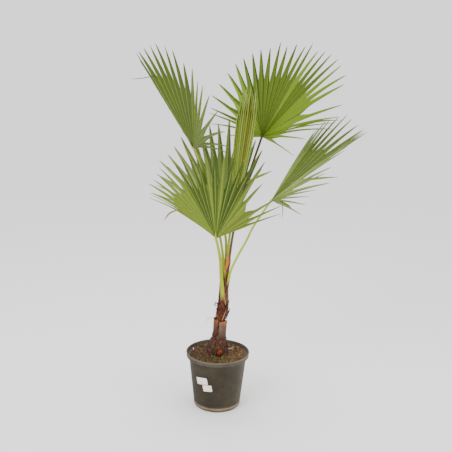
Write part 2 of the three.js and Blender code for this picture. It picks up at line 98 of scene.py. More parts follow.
# Every blade is a fan of pleated segments round its hub, by the same rule as the solids: see ray_at().
# heading and rise aim its midrib, roll and swing turn it about the midrib and about its face, bow bends it.
# united and united_end say how far the segments are joined, at the midrib and at the last one, as shares of
# their length; depth scales both. bright holds the turns from the midrib where painted light makes the leaf
# paler, and contrast is how dark the painted shade on one side of each pleat is.
# A half spreads to its widest turn. fold and curl lift it, swell, end and power shape its lengths, droop
# bends it down. count segments share out even, or else the spread, and those in loose follow at turns of
# their own, some with a reach. parting below 1 opens the clefts between the loose ones sooner.
FANS = [
    {
        "name": "upper_left", "hub": (-126, 28, 1220), "heading": 165, "rise": 57, "roll": -32, "swing": -0.6,
        "length": 510, "bow": 0.02, "united": 0.65, "united_end": 0.3, "depth": 0.97,
        "painted_lit": ((34, 70), (-106, -52)),
        "left": {
            "spread": 106, "fold": 13, "end": 0.63, "power": 2.4, "droop": 0.15,
            "count": 8, "even": 57.5, "loose": (58, 62.5, 68.5, 77.5, 87.5, 97, 101.5), "parting": 0.45,
        },
        "right": {
            "spread": 67, "fold": 14, "swell": 0.03, "end": 0.55, "power": 1.8, "droop": 0.03, "count": 10,
        },
    },
    {
        "name": "upper_right", "hub": (183, 116, 1267), "heading": 46, "rise": 60, "swing": 1.2,
        "length": 491, "bow": 0.02, "united": 0.63, "united_end": 0.23, "depth": 0.94,
        "painted_lit": ((28, 120), (-110, -42)),
        "left": {
            "spread": 97, "fold": 5, "curl": 12, "swell": 0.23, "end": 0.35, "power": 2.6, "droop": 0.13,
            "count": 9, "even": 50.7, "loose": (55.5, 64, 71.5, 75, 82, 94, 102.5),
        },
        "right": {
            "spread": 107, "fold": 8, "swell": 0.02, "end": 0.41, "power": 4, "droop": 0.11,
            "count": 9, "even": 54.3, "loose": (63.4, 69.5, 72.5, 76, (85, 0.75), 101.5), "parting": 0.5,
        },
    },
    {
        "name": "right", "hub": (228, -22, 1000), "heading": -8, "rise": 39,
        "length": 531, "bow": 0, "united": 0.65, "united_end": 0.25, "depth": 0.87, "contrast": 0.7,
        "painted_lit": ((-80, -32), (2, 80)),
        "left": {
            "spread": 79, "fold": 34, "curl": -38, "swell": -0.02, "end": 0.65, "power": 4, "droop": 0.05,
            "count": 13,
        },
        "right": {
            "spread": 76, "fold": 10, "curl": -20, "swell": -0.03, "end": 0.8, "power": 3.8, "droop": 0.03,
            "count": 4, "even": 25, "loose": (31, 37, 47.5, 51, (57.6, 1.2), 60, 63.2, 67.2, 71.3),
        },
    },
    {
        "name": "front", "hub": (-17, -52, 825.5), "heading": -98, "rise": 60, "swing": -0.5,
        "length": 480, "bow": 0.02, "united": 0.63, "united_end": 0.43, "depth": 0.95, "contrast": 0.82,
        "painted_lit": ((22, 70), (-70, -24)),
        "left": {
            "spread": 65, "fold": 7, "swell": 0.05, "end": 0.67, "power": 1.9, "droop": 0.01,
            "count": 6, "even": 29.6, "loose": ((33.6, 0.87), 48.3, 55.4, 62),
        },
        "right": {
            "spread": 56, "fold": 9, "curl": 6, "swell": 0.06, "end": 0.76, "power": 2.3, "droop": 0.17,
            "count": 11, "even": 49, "loose": (48.8, 50.8), "parting": 0.5,
        },
    },
    {
        "name": "rear", "hub": (20, 52, 841), "heading": 95, "rise": 79, "swing": -0.3,
        "length": 521, "bow": 0.02, "united": 0.68, "painted_lit": ((30, 60), (-60, -25)), "depth": 0.9,
        "left": {
            "spread": 59, "fold": -2, "curl": -15, "swell": 0.04, "end": 0.77, "power": 1.8, "droop": 0.13,
            "count": 11,
        },
        "right": {
            "spread": 36, "fold": 5, "swell": 0.02, "end": 0.58, "power": 2.1, "droop": 0.05,
            "count": 6, "even": 32, "loose": (36,),
        },
    },
    {
        "name": "spear", "hub": (63, 0, 963), "heading": 0, "rise": 84, "roll": 90,
        "length": 538, "bow": 0, "collar": 14, "gather": 0.67, "pleat": 0.8,
        "united": 0.84, "united_end": 0.76, "painted_lit": ((3, 14),),
        "left": {"spread": 13.5, "end": 0.95, "count": 5},
        "right": {"spread": 13.5, "end": 0.86, "count": 5},
    },
]
FAN = {
    "roll": 0, "swing": 0, "pleat": 0.3, "united_end": 0.32, "gather": 0, "collar": 7.2, "depth": 1,
    "contrast": 0.74,
}
HALF = {"fold": 0, "curl": 0, "swell": 0, "power": 2, "droop": 0, "even": None, "loose": (), "parting": 1}
CLEFT_JITTER = 0.07
TIP_JITTER = 0.035
FREE_WIDTH = 0.88
SAG = 0.012
SWAY = 0.5
# The draws above which a segment has a dry point, a dry end, a dead end, or takes the other shade.
DRY_POINT, DRY_END, DEAD_END, OTHER_SHADE = 0.1, 0.45, 0.8, 0.84
LEAF_THICK = 0.7
UNITED_ROWS = 9
FREE_ROWS = 12
ACROSS = (-1, -0.55, -0.09, 0, 0.09, 0.55, 1)
LEAF_PER_UV = 400
# Things turned on by the golden angle, one after the other, spread all round.
GOLDEN_ANGLE = 2.39996

# A stalk's width and depth at its base, its width at its end, its hidden root, and its path up to the hub.
# husk moves the height where its foot turns brown.
STALK_FOOT = 698
STALKS = {
    "upper_left": {
        "husk": -52, "base": 16, "depth": 12, "end": 10.5, "root": (25.5, -14, 628),
        "path": ((18.5, -4, STALK_FOOT), (12, -6, 760), (1.5, -4, 816), (-41, 5, 976), (-80, 14, 1102)),
    },
    "upper_right": {
        "base": 11, "depth": 10, "end": 10, "root": (34, 8, 640),
        "path": (
            (43.5, 12, STALK_FOOT), (53, 18, 778), (61, 22, 834),
            (86, 40, 939), (111, 65, 1047), (150, 92, 1168),
        ),
    },
    "right": {
        "base": 17, "depth": 15, "end": 10.5, "root": (35, -3, 560),
        "path": ((42.6, -8, 612), (49, -12, 655), (75, -17, 722), (121, -20, 813), (146, -21, 870)),
    },
    "front": {
        "husk": 24, "base": 20, "depth": 11, "end": 11.5, "root": (18, -19, 480),
        "path": ((16.5, -22.3, 520), (16, -21.2, 570), (10, -29, 640), (4, -38, 721), (-8.5, -46, 788)),
    },
    "rear": {
        "base": 13, "depth": 11, "end": 10.5, "root": (27, 8, 640),
        "path": ((29, 17, STALK_FOOT), (29.5, 22, 743), (27, 40, 800)),
    },
    "spear": {
        "base": 12.5, "depth": 11, "end": 10, "root": (31, 0, 640),
        "path": ((35, 0, STALK_FOOT), (37.5, 0, 740), (45, 0, 830), (54, 0, 900)),
    },
}
STALK_TAPER = 1.1
# The stalk's outline, in half widths and half depths, and which of its sides are the margins.
STALK_SIDES = (
    (-0.93, 0.62), (-0.5, 0.5), (0, 0.42), (0.5, 0.5), (0.93, 0.62), (1, 0.1),
    (0.8, -0.55), (0.35, -0.93), (-0.35, -0.93), (-0.8, -0.55), (-1, 0.1),
)
STALK_MARGINS = (0, 3, 4, 10)
CURVE_STEPS = 24
SPINE = {"length": 3.6 * MM, "width": 0.7 * MM}

# The camera and the lamps, in metres and radians: each lamp's place, size and power.
CAMERA = {"lens": 56.74, "place": (0.0267, -3.156, 1.597), "pitch": 0.2259, "roll": 0.0208}
LAMPS = {
    "key": ((-1.6, -2.2, 3.2), 1.6, 60),
    "fill": ((2.6, -1.8, 1.8), 2.2, 22),
    "top": ((0.3, 0.6, 3.4), 2.0, 30),
}
LAMP_TARGET = Vector((0, 0, 0.8))
SKY_STRENGTH = 1.5
# Half the floor's width, in millimetres.
FLOOR_REACH = 90000

# ---- small tools ----


def jitter(index, seed):
    """A repeatable number from -1 to 1 for the item of that index, different for each seed."""
    value = math.sin(index * 12.9898 + seed * 78.233) * 43758.5453
    return 2 * (value - math.floor(value)) - 1


def lerp(a, b, share):
    """The value that share of the way from a to b."""
    return a + (b - a) * share


def smooth(low, high, value):
    """An even rise from 0 at low to 1 at high."""
    share = min(1, max(0, (value - low) / (high - low)))
    return share * share * (3 - 2 * share)


def flat(rows):
    """The items of several rows in one list."""
    return [item for row in rows for item in row]


def tint(code):
    """A linear colour from an sRGB code."""
    parts = [int(code[i:i + 2], 16) / 255 for i in (1, 3, 5)]
    return tuple(c / 12.92 if c <= 0.04045 else ((c + 0.055) / 1.055) ** 2.4 for c in parts) + (1,)


def placed(name, data):
    """A new object in the scene that shows that data."""
    obj = bpy.data.objects.new(name, data)
    bpy.context.scene.collection.objects.link(obj)
    return obj


def level(angle):
    """The level direction at that angle from +X."""
    return Vector((math.cos(angle), math.sin(angle), 0))


def piece(name, points, faces, looks, slots=None, uvs=None, thick=0):
    """A mesh piece from points in millimetres, with a material slot for each face and one UV a point."""
    mesh = bpy.data.meshes.new(name)
    mesh.from_pydata([Vector(p) * MM for p in points], [], faces)
    for look in looks:
        mesh.materials.append(look)
    if slots:
        mesh.polygons.foreach_set("material_index", slots)
    if uvs:
        layer = mesh.uv_layers.new(name="UVMap")
        for loop in mesh.loops:
            layer.data[loop.index].uv = uvs[loop.vertex_index]
    mesh.shade_smooth()
    obj = placed(name, mesh)
    if thick:
        wall = obj.modifiers.new("Thickness", "SOLIDIFY")
        wall.thickness = thick * MM
        wall.offset = 0
        settle(obj)
    return obj


def settle(obj):
    """Turns the object's modifiers into its plain mesh."""
    bpy.context.view_layer.update()
    result = bpy.data.meshes.new_from_object(obj.evaluated_get(bpy.context.evaluated_depsgraph_get()))
    obj.modifiers.clear()
    obj.data = result
    return obj


def join(name, objs):
    """One object made of several that lie at the origin."""
    looks, points, faces, slots, uvs = [], [], [], [], []
    for obj in objs:
        mesh = obj.data
        start = len(points)
        places = []
        for look in mesh.materials:
            if look not in looks:
                looks.append(look)
            places.append(looks.index(look))
        points += [v.co / MM for v in mesh.vertices]
        own = [(0.5, 0.5)] * len(mesh.vertices)
        if mesh.uv_layers:
            for loop in mesh.loops:
                own[loop.vertex_index] = tuple(mesh.uv_layers[0].data[loop.index].uv)
        uvs += own
        for face in mesh.polygons:
            faces.append([start + v for v in face.vertices])
            slots.append(places[min(face.material_index, len(places) - 1)])
        bpy.data.objects.remove(obj)
    return piece(name, points, faces, looks, slots, uvs)


def hand_over(obj, slot, *nodes):
    """The piece rides on the plant and stands for those nodes."""
    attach(obj, "root")
    if nodes:
        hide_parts(*nodes)


def skin(rings, cap=True):
    """Faces through rings of equally many points, numbered ring by ring."""
    sides = len(rings[0])
    faces = []
    for j in range(len(rings) - 1):
        for i in range(sides):
            a, b = j * sides + i, j * sides + (i + 1) % sides
            faces.append((a, b, b + sides, a + sides))
    if cap:
        faces.append(tuple(range(sides - 1, -1, -1)))
        faces.append(tuple(range((len(rings) - 1) * sides, len(rings) * sides)))
    return faces


def grid_faces(rows, columns):
    """Faces between the points of a grid of that many steps each way, numbered row by row."""
    wide = columns + 1
    corners = [j * wide + i for j in range(rows) for i in range(columns)]
    return [(a, a + 1, a + wide + 1, a + wide) for a in corners]


def add_node(tree, kind, inputs, **settings):
    """A node with its settings. Each input is a value, or another node's output that is linked to it."""
    node = tree.nodes.new(kind)
    for label, value in settings.items():
        setattr(node, label, value)
    for socket, value in inputs.items():
        if isinstance(value, bpy.types.NodeSocket):
            tree.links.new(value, node.inputs[socket])
        else:
            node.inputs[socket].default_value = value
    return node


def rings_of(rows, sides, spot):
    """Rings of points, each point by its share of the way from the first ring to the last and its angle."""
    angles = [math.tau * i / sides for i in range(sides)]
    return [[spot(j / rows, angle) for angle in angles] for j in range(rows + 1)]


def ringed(name, rings, looks, slots=None):
    """A piece with a skin over rings of points."""
    return piece(name, flat(rings), skin(rings), looks, slots)


def tube(name, path, radii, look, sides=7):
    """A round strand through points, with a radius at each."""
    points = [Vector(p) for p in path]
    rings = []
    for j, point in enumerate(points):
        ahead = points[min(j + 1, len(points) - 1)] - points[max(j - 1, 0)]
        across = ahead.cross(Vector((0.31, 0.87, 0.38))).normalized()
        above = ahead.cross(across).normalized()
        turns = [math.tau * i / sides for i in range(sides)]
        rings.append([point + radii[j] * (across * math.cos(t) + above * math.sin(t)) for t in turns])
    return ringed(name, rings, [look])


# ---- finishes ----


class Finish:
    """A material that is built up from nodes."""

    def __init__(self, name, rough, specular):
        self.material = bpy.data.materials.new(name)
        self.material.use_nodes = True
        self.tree = self.material.node_tree
        self.shader = self.tree.nodes["Principled BSDF"].inputs
        self.shader["Roughness"].default_value = rough
        self.shader["Specular IOR Level"].default_value = specular

    def place(self, kind="Object", scale=(1, 1, 1)):
        """Where a point lies, in the piece's own space or on its UV map, scaled along each axis."""
        source = add_node(self.tree, "ShaderNodeTexCoord", {}).outputs[kind]
        return add_node(self.tree, "ShaderNodeMapping", {"Vector": source, "Scale": scale}).outputs["Vector"]

    def noise(self, place, scale, detail=4, rough=0.6):
        inputs = {"Vector": place, "Scale": scale, "Detail": detail, "Roughness": rough}
        return add_node(self.tree, "ShaderNodeTexNoise", inputs).outputs["Fac"]

    def bands(self, place, scale, distortion):
        inputs = {"Vector": place, "Scale": scale, "Distortion": distortion}
        return add_node(self.tree, "ShaderNodeTexWave", inputs, bands_direction="X").outputs["Fac"]

    def ramp(self, factor, *stops):
        """Colours along a factor: pairs of position and colour code."""
        node = add_node(self.tree, "ShaderNodeValToRGB", {"Fac": factor})
        band = node.color_ramp
        while len(band.elements) < len(stops):
            band.elements.new(0.5)
        for element, (position, code) in zip(band.elements, stops):
            element.position = position
            element.color = tint(code)
        return node.outputs["Color"]

    def mix(self, factor, first, second):
        """Two colours, each a code or a node's output, mixed by a factor."""
        first, second = (tint(colour) if isinstance(colour, str) else colour for colour in (first, second))
        node = add_node(self.tree, "ShaderNodeMix", {0: factor, 6: first, 7: second}, data_type="RGBA")
        return node.outputs[2]

    def along(self, axis, low, high):
        """A factor from 0 at one place along an axis of the piece to 1 at another, in millimetres."""
        split = add_node(self.tree, "ShaderNodeSeparateXYZ", {0: self.place()})
        inputs = {"Value": split.outputs[axis], "From Min": low * MM, "From Max": high * MM}
        return add_node(self.tree, "ShaderNodeMapRange", inputs).outputs["Result"]

    def colour(self, output):
        """The surface's colour, from a code or a node's output."""
        if isinstance(output, str):
            self.shader["Base Color"].default_value = tint(output)
        else:
            self.tree.links.new(output, self.shader["Base Color"])

    def roughness(self, factor, low, high):
        node = add_node(self.tree, "ShaderNodeMapRange", {"Value": factor, "To Min": low, "To Max": high})
        self.tree.links.new(node.outputs["Result"], self.shader["Roughness"])

    def relief(self, factor, strength, distance):
        """Bumps that far off the surface in millimetres, over those that are there already."""
        inputs = {"Height": factor, "Strength": strength, "Distance": distance * MM}
        previous = self.shader["Normal"].links
        if previous:
            inputs["Normal"] = previous[0].from_socket
        bump = add_node(self.tree, "ShaderNodeBump", inputs)
        self.tree.links.new(bump.outputs["Normal"], self.shader["Normal"])


def leaf_finish(name, code, vein=14):
    """Satin leaf: fine lengthwise veins and a faint mottle over one green."""
    finish = Finish(name, 0.55, 0.1)
    mottle = finish.noise(finish.place(), 60)
    veins = finish.bands(finish.place("UV"), vein, 0.3)
    green = finish.mix(mottle, code, darker(code, 0.86))
    finish.colour(finish.mix(0.12, green, finish.ramp(veins, (0, darker(code, 0.7)), (1, code))))
    finish.roughness(mottle, 0.42, 0.6)
    finish.relief(veins, 0.25, 0.3)
    return finish.material


def darker(code, share):
    """The colour code with each part scaled, a share above 1 being paler."""
    parts = [round(int(code[i:i + 2], 16) * share) for i in (1, 3, 5)]
    return "#%02x%02x%02x" % tuple(min(255, c) for c in parts)


def fibre_finish(name, dark, mid, light, stretch, relief, cut=None):
    """Old leaf base and bark: fibres that run up the stem.

    With a cut at some height it is warmer just under it and dark far below.
    """
    finish = Finish(name, 0.85, 0.1)
    strands = finish.noise(finish.place(scale=(stretch, stretch, 1)), 55, 6, 0.65)
    patches = finish.noise(finish.place(), 30, 3)
    grain = finish.ramp(strands, (0.3, dark), (0.5, mid), (0.68, light))
    grain = finish.mix(patches, grain, finish.mix(0.55, grain, dark))
    if cut:
        warm = finish.ramp(finish.along(UPRIGHT, cut - 22, cut), (0, "#000000"), (1, "#b0b0b0"))
        grain = finish.mix(warm, grain, "#b5703e")
        grain = finish.mix(finish.along(UPRIGHT, cut - 30, cut - 95), grain, dark)
    finish.colour(grain)
    finish.roughness(strands, 0.7, 0.95)
    finish.relief(strands, relief, 1.2)
    return finish.material


def plain_finish(name, code, rough, scale=90):
    """One colour with a mottle of that scale."""
    finish = Finish(name, rough, 0.15)
    mottle = finish.noise(finish.place(), scale)
    finish.colour(finish.mix(mottle, darker(code, 1.1), darker(code, 0.78)))
    finish.roughness(mottle, rough - 0.1, min(1, rough + 0.1))
    finish.relief(mottle, 0.3, 0.3)
    return finish.material


def pot_finish():
    """Moulded plastic with dust and scuffs, lighter over the rim band and lip.
    A painted highlight makes it paler down its +X side, and another round the foot stands for light from the
    floor.

    The edge that stands on the ground is brown.
    """
    finish = Finish("pot plastic", 0.55, 0.12)
    dust = finish.noise(finish.place(), 9, 6, 0.7)
    streaks = finish.noise(finish.place(scale=(1, 1, 0.12)), 60, 5, 0.6)
    specks = finish.noise(finish.place(), 420, 3, 0.5)

    def weathered_and_lit(body, axis, low, high, cover, *dust_and_highlight_codes):
        """A colour over the body, dust-mottled if two are given, growing to that cover from low to high."""
        share = finish.ramp(finish.along(axis, low, high), (0, "#000000"), *cover)
        colour = dust_and_highlight_codes[0] if len(dust_and_highlight_codes) == 1 else finish.ramp(dust, (0.35, dust_and_highlight_codes[0]), (0.7, dust_and_highlight_codes[1]))
        return finish.mix(share, body, colour)

    top = POT["height"]
    body = finish.ramp(dust, (0.32, "#2c2720"), (0.55, "#373126"), (0.75, "#463e31"))
    # Painted highlight: paler towards +X, down one side of the pot, mottled by the dust.
    body = weathered_and_lit(body, SIDEWAYS, 25, 130, ((0.6, "#6a6a6a"), (1, "#c8c8c8")), "#524b42", "#6f675a")
    body = finish.mix(finish.ramp(streaks, (0.45, "#000000"), (0.7, "#202020")), body, "#6a6256")
    # Lighter over the rim band above the shelf, and lighter still near its top.
    body = weathered_and_lit(body, UPRIGHT, SHELF - 2, SHELF + 3, ((1, "#b5b5b5"),), "#48423a", "#6c6459")
    body = weathered_and_lit(body, UPRIGHT, top - 9, top - 3, ((1, "#a0a0a0"),), "#756c60", "#8d8272")
    # Painted highlight round the foot, standing for light from the floor.
    body = weathered_and_lit(body, UPRIGHT, 31, 17, ((0.5, "#484848"), (1, "#d8d8d8")), "#827662", "#ab9d83")
    # Brown at the edge that stands on the ground.
    body = weathered_and_lit(body, UPRIGHT, 16, 10, ((1, "#e8e8e8"),), "#56392a")
    finish.colour(finish.mix(finish.ramp(specks, (0.62, "#000000"), (0.72, "#606060")), body, "#7a7264"))
    finish.roughness(dust, 0.45, 0.75)
    finish.relief(streaks, 0.15, 0.5)
    finish.relief(specks, 0.12, 0.3)
    return finish.material


def soil_finish():
    """Bark compost with painted shade: darker towards -X, lighter towards +X, with a green bloom of moss."""
    finish = Finish("bark soil", 0.95, 0.05)
    coarse = finish.noise(finish.place(), 130, 8, 0.75)
    moss = finish.noise(finish.place(), 22, 4, 0.6)
    shaded_earth = finish.ramp(coarse, (0.3, "#251b13"), (0.5, "#52402f"), (0.66, "#7a6044"), (0.8, "#977a5a"))
    dry = finish.ramp(coarse, (0.3, "#33271c"), (0.5, "#6e563e"), (0.66, "#9a7c5a"), (0.8, "#b39873"))
    # Painted shade: the darker ramp on the -X side gives way to the lighter one on the +X side.
    earth = finish.mix(finish.along(SIDEWAYS, -10, 70), shaded_earth, dry)
    finish.colour(finish.mix(finish.ramp(moss, (0.5, "#000000"), (0.64, "#808080")), earth, "#545620"))
    finish.relief(coarse, 1, 3)
    return finish.material


def label_finish():
    """White paper, faintly smudged."""
    finish = Finish("label paper", 0.65, 0.3)
    smudge = finish.noise(finish.place(), 45, 5, 0.6)
    finish.colour(finish.ramp(smudge, (0.3, "#e2d4c4"), (0.5, "#f6e9dc"), (0.75, "#fff5ea")))
    finish.relief(finish.noise(finish.place(), 180), 0.15, 0.3)
    return finish.material


PLASTIC = pot_finish()
SHADED_PLASTIC = plain_finish("pot inside", "#574e44", 0.7, 40)
EARTH = soil_finish()
PAPER = label_finish()
BARK = fibre_finish("trunk bark", "#22130f", "#50362b", "#8a6856", 5, 0.9)
BOOT = fibre_finish("cut leaf base", "#36201c", "#6a3f34", "#946a5a", 9, 0.5, CUT_BASES[0]["cut"])
# The right base takes a paler, greyer copy of the left one's finish: a painted highlight.
LIT_BOOT = fibre_finish("worn leaf base", "#3a2a24", "#745749", "#a48c78", 9, 0.5, CUT_BASES[1]["cut"])
CUT = fibre_finish("cut face", "#7a4420", "#a8622e", "#c08a55", 2, 0.3)
RED_SHEATH = fibre_finish("red-brown sheath", "#1f0c0b", "#4e261e", "#8a5c3a", 7, 0.4)
DARK_SHEATH = fibre_finish("dark sheath", "#22120f", "#48291f", "#6d533d", 7, 0.5)
ROSE_SHEATH = fibre_finish("rosy sheath", "#42281f", "#6e4838", "#986e56", 9, 0.4)
PAPERY_SHEATH = fibre_finish("papery sheath", "#86501f", "#bc7c3a", "#d4a25e", 9, 0.4)
PALE_SHEATH = fibre_finish("pale sheath", "#6c5238", "#8f744e", "#b89f74", 9, 0.4)
FIBRE = plain_finish("black fibre", "#33221a", 0.8)
PALE_FIBRE = plain_finish("dried strand", "#b3a48c", 0.8)
ROOT = plain_finish("root tip", "#a83e1c", 0.6, 160)
OLD_ROOT = plain_finish("old root tip", "#743e24", 0.8, 160)
STRAW = plain_finish("straw edge", "#a1873c", 0.6, 90)
GREY_STRIP = plain_finish("grey base edge", "#6a565a", 0.8, 90)
ORANGE_STRIP = plain_finish("split base edge", "#b07c48", 0.7, 90)
CHIP_DARK = plain_finish("dark bark bit", "#4c3828", 0.9, 300)
CHIP_PALE = plain_finish("pale bark bit", "#987a58", 0.9, 300)
TWIG = plain_finish("pale twig", "#c9bd95", 0.7, 150)
FLAKE = plain_finish("white flake", "#e6ded2", 0.6, 200)
MOSS = plain_finish("moss", "#5f6b22", 0.9, 300)
SPROUT = plain_finish("sprout", "#87a83a", 0.6, 200)
THORN = plain_finish("spine", "#6a4426", 0.5, 200)
FLAP = plain_finish("papery collar", "#6f4c30", 0.7, 200)
STRAY_LEAF = plain_finish("stray leaflet", "#7d9038", 0.55, 60)
DEEP_LEAF = plain_finish("deep leaflet", "#61742c", 0.55, 60)
DRY_THREAD = plain_finish("dry thread", "#565a44", 0.7, 60)
TIP = leaf_finish("dry tip", "#94863c", 4)
BROWN_TIP = leaf_finish("brown tip", "#8a6238", 4)
STRIPE = leaf_finish("ochre stripe", "#94843a", 6)

# Each blade's greens: most of it, its paler part where light is painted on, and its ribs.
GREENS = {
    "upper_left": ("#526421", "#6c7f31", "#80914a"),
    "upper_right": ("#556b13", "#728f1d", "#86a03c"),
    "right": ("#61742e", "#889c4a", "#a8b86a"),
    "front": ("#4e611f", "#788b2e", "#8aa03e"),
    "rear": ("#879b4d", "#a2b467", "#a6b868"),
    "spear": ("#96a842", "#a8ba50", "#b9c666"),
}
# Each leaf stalk's upper part, its foot, its margins and its neck below the blade.
STALK_COLOURS = {
    "upper_left": ("#858f0a", "#8c9008", "#9aa23c", "#a3925a"),
    "upper_right": ("#4c4033", "#8f6e50", "#67543f", "#3a291f"),
    "right": ("#93a60a", "#a8b602", "#a9b63c", "#9aa452"),
    "front": ("#8c981c", "#9aa00c", "#a3aa40", "#9aa53e"),
    "rear": ("#8a9630", "#9aa02c", "#a0a44c", "#8a9630"),
    "spear": ("#84901a", "#9ea410", "#a3a640", "#84901a"),
}
# The places of a blade's finishes in its list of materials, and the spear's finish by segment.
MAIN, MAIN_SHADE, LIT, LIT_SHADE, RIB, DRY_TIP, DEAD_TIP, OCHRE = range(8)
SPEAR_STREAKS = (LIT, RIB, MAIN, OCHRE, LIT, MAIN, RIB, LIT, MAIN, LIT)

# ---- things that repeat over a surface ----


def grow_tree(name, sockets):
    """A node tree for a modifier that has those inputs, and what its first node gives."""
    tree = bpy.data.node_groups.new(name, "GeometryNodeTree")
    for label, kind in sockets.items():
        tree.interface.new_socket(label, in_out="INPUT", socket_type="NodeSocket" + kind)
    tree.interface.new_socket("Grown", in_out="OUTPUT", socket_type="NodeSocketGeometry")
    return tree, tree.nodes.new("NodeGroupInput").outputs


def named_value(tree, name, kind):
    """The mesh's own attribute of that name."""
    inputs = {"Name": name}
    return add_node(tree, "GeometryNodeInputNamedAttribute", inputs, data_type=kind).outputs["Attribute"]


def put_bits(tree, look, inputs):
    """Ends a tree: a bit at each point, made solid, in one look."""
    put = add_node(tree, "GeometryNodeInstanceOnPoints", inputs)
    solid = add_node(tree, "GeometryNodeRealizeInstances", {0: put.outputs[0]})
    coloured = add_node(tree, "GeometryNodeSetMaterial", {"Geometry": solid.outputs[0], "Material": look})
    add_node(tree, "NodeGroupOutput", {0: coloured.outputs[0]})
    return tree


def scatter_tree():
    """Bits at random places of a surface, more where its cover is thick, each turned and sized at random."""
    tree, given = grow_tree("Scatter bits", {
        "Surface": "Geometry", "Bit": "Object", "Look": "Material", "Density": "Float",
        "Seed": "Int", "Smallest": "Float", "Largest": "Float", "Tilt": "Float",
    })
    seed = given["Seed"]

    def times(first, second):
        return add_node(tree, "ShaderNodeMath", {0: first, 1: second}, operation="MULTIPLY").outputs[0]

    density = times(given["Density"], named_value(tree, "cover", "FLOAT"))
    places = {"Mesh": given["Surface"], "Density": density, "Seed": seed}
    spread = add_node(tree, "GeometryNodeDistributePointsOnFaces", places)
    limits = {"Seed": seed}
    for sign, socket in ((-1, "Min"), (1, "Max")):
        tilt = times(given["Tilt"], sign)
        turn = add_node(tree, "ShaderNodeCombineXYZ", {"X": tilt, "Y": tilt, "Z": sign * math.pi})
        limits[socket] = turn.outputs[0]
    lean = add_node(tree, "FunctionNodeRandomValue", limits, data_type="FLOAT_VECTOR")
    sizes = {2: given["Smallest"], 3: given["Largest"], "Seed": seed}
    size = add_node(tree, "FunctionNodeRandomValue", sizes, data_type="FLOAT")
    bit = add_node(tree, "GeometryNodeObjectInfo", {"Object": given["Bit"]})
    return put_bits(tree, given["Look"], {
        "Points": spread.outputs["Points"], "Instance": bit.outputs["Geometry"],
        "Rotation": lean.outputs[0], "Scale": size.outputs[1],
    })


def spine_tree():
    """Spines at the points of a margin, each along its own outward direction and of its own size."""
    tree, given = grow_tree("Margin spines", {
        "Margin": "Geometry", "Look": "Material", "Length": "Float", "Width": "Float",
    })
    cone = {"Vertices": 5, "Radius Bottom": given["Width"], "Depth": given["Length"]}
    outward = named_value(tree, "outward", "FLOAT_VECTOR")
    turn = add_node(tree, "FunctionNodeAlignRotationToVector", {"Vector": outward}, axis="Z")
    return put_bits(tree, given["Look"], {
        "Points": given["Margin"], "Instance": add_node(tree, "GeometryNodeMeshCone", cone).outputs["Mesh"],
        "Rotation": turn.outputs[0], "Scale": named_value(tree, "grow", "FLOAT"),
    })


SCATTER = scatter_tree()
SPINES = spine_tree()


def grown(name, base, tree, look, **values):
    """The mesh that a tree grows on a copy of a base mesh."""
    obj = placed(name, base)
    modifier = obj.modifiers.new("Grow", "NODES")
    modifier.node_group = tree
    names = {item.name: item.identifier for item in tree.interface.items_tree if item.in_out == "INPUT"}
    modifier[names["Look"]] = look
    for label, value in values.items():
        modifier[names[label.capitalize()]] = value
    settle(obj)
    obj.data.materials.clear()
    obj.data.materials.append(look)
    return obj


def scattered(name, surface, look, bit, density, seed, smallest, largest, tilt):
    """Copies of a bit over a surface, as a piece of their own. The bit itself goes."""
    obj = grown(name, surface, SCATTER, look, bit=bit, density=density, seed=seed,
                smallest=smallest, largest=largest, tilt=tilt)
    bpy.data.objects.remove(bit)
    return obj


def cover_mesh(mesh, cover):
    """Says at each point of a mesh how thickly bits lie there, from 0 to 1."""
    values = mesh.attributes.get("cover") or mesh.attributes.new("cover", "FLOAT", "POINT")
    values.data.foreach_set("value", [cover(vertex.co / MM) for vertex in mesh.vertices])


# ---- pot, soil and labels ----


def wall_radius(z):
    """How far the pot's wall stands from its middle at a height, outside."""
    return lerp(POT["foot_radius"], POT["shelf_radius"], z / SHELF)


def rounded(profile, radius):
    """The profile with each corner cut by a small arc."""
    result = [profile[0]]
    for before, corner, after in zip(profile, profile[1:], profile[2:]):
        here = Vector(corner)
        back, ahead = Vector(before) - here, Vector(after) - here
        reach = min(radius, back.length * 0.45, ahead.length * 0.45)
        start, stop = here + back.normalized() * reach, here + ahead.normalized() * reach
        for share in (0, 0.33, 0.67, 1):
            point = start.lerp(here, share).lerp(here.lerp(stop, share), share)
            result.append(tuple(point))
    return result + [profile[-1]]


def turned(name, profile, sides, looks, waves=None, inner=None):
    """A profile of radius and height turned round the upright axis, from the axis back to it.

    The faces past the profile's point number `inner` take the second of the looks.
    """
    points = [(0, 0, profile[0][1])]
    for radius, z in profile[1:-1]:
        for i in range(sides):
            angle = math.tau * i / sides
            spot = level(angle) * radius + UP * z
            points.append(waves(spot) if waves else spot)
    points.append((0, 0, profile[-1][1]))
    faces = []
    rows = len(profile) - 2
    for i in range(sides):
        after = (i + 1) % sides
        faces.append((0, 1 + after, 1 + i))
        for j in range(rows - 1):
            a, b = 1 + j * sides + i, 1 + j * sides + after
            faces.append((a, b, b + sides, a + sides))
        last = 1 + (rows - 1) * sides
        faces.append((last + i, last + after, len(points) - 1))
    slots = [0] * len(faces)
    if inner:
        slots = [1 if max((v - 1) // sides for v in face) > inner else 0 for face in faces]
    return piece(name, points, faces, looks, slots)


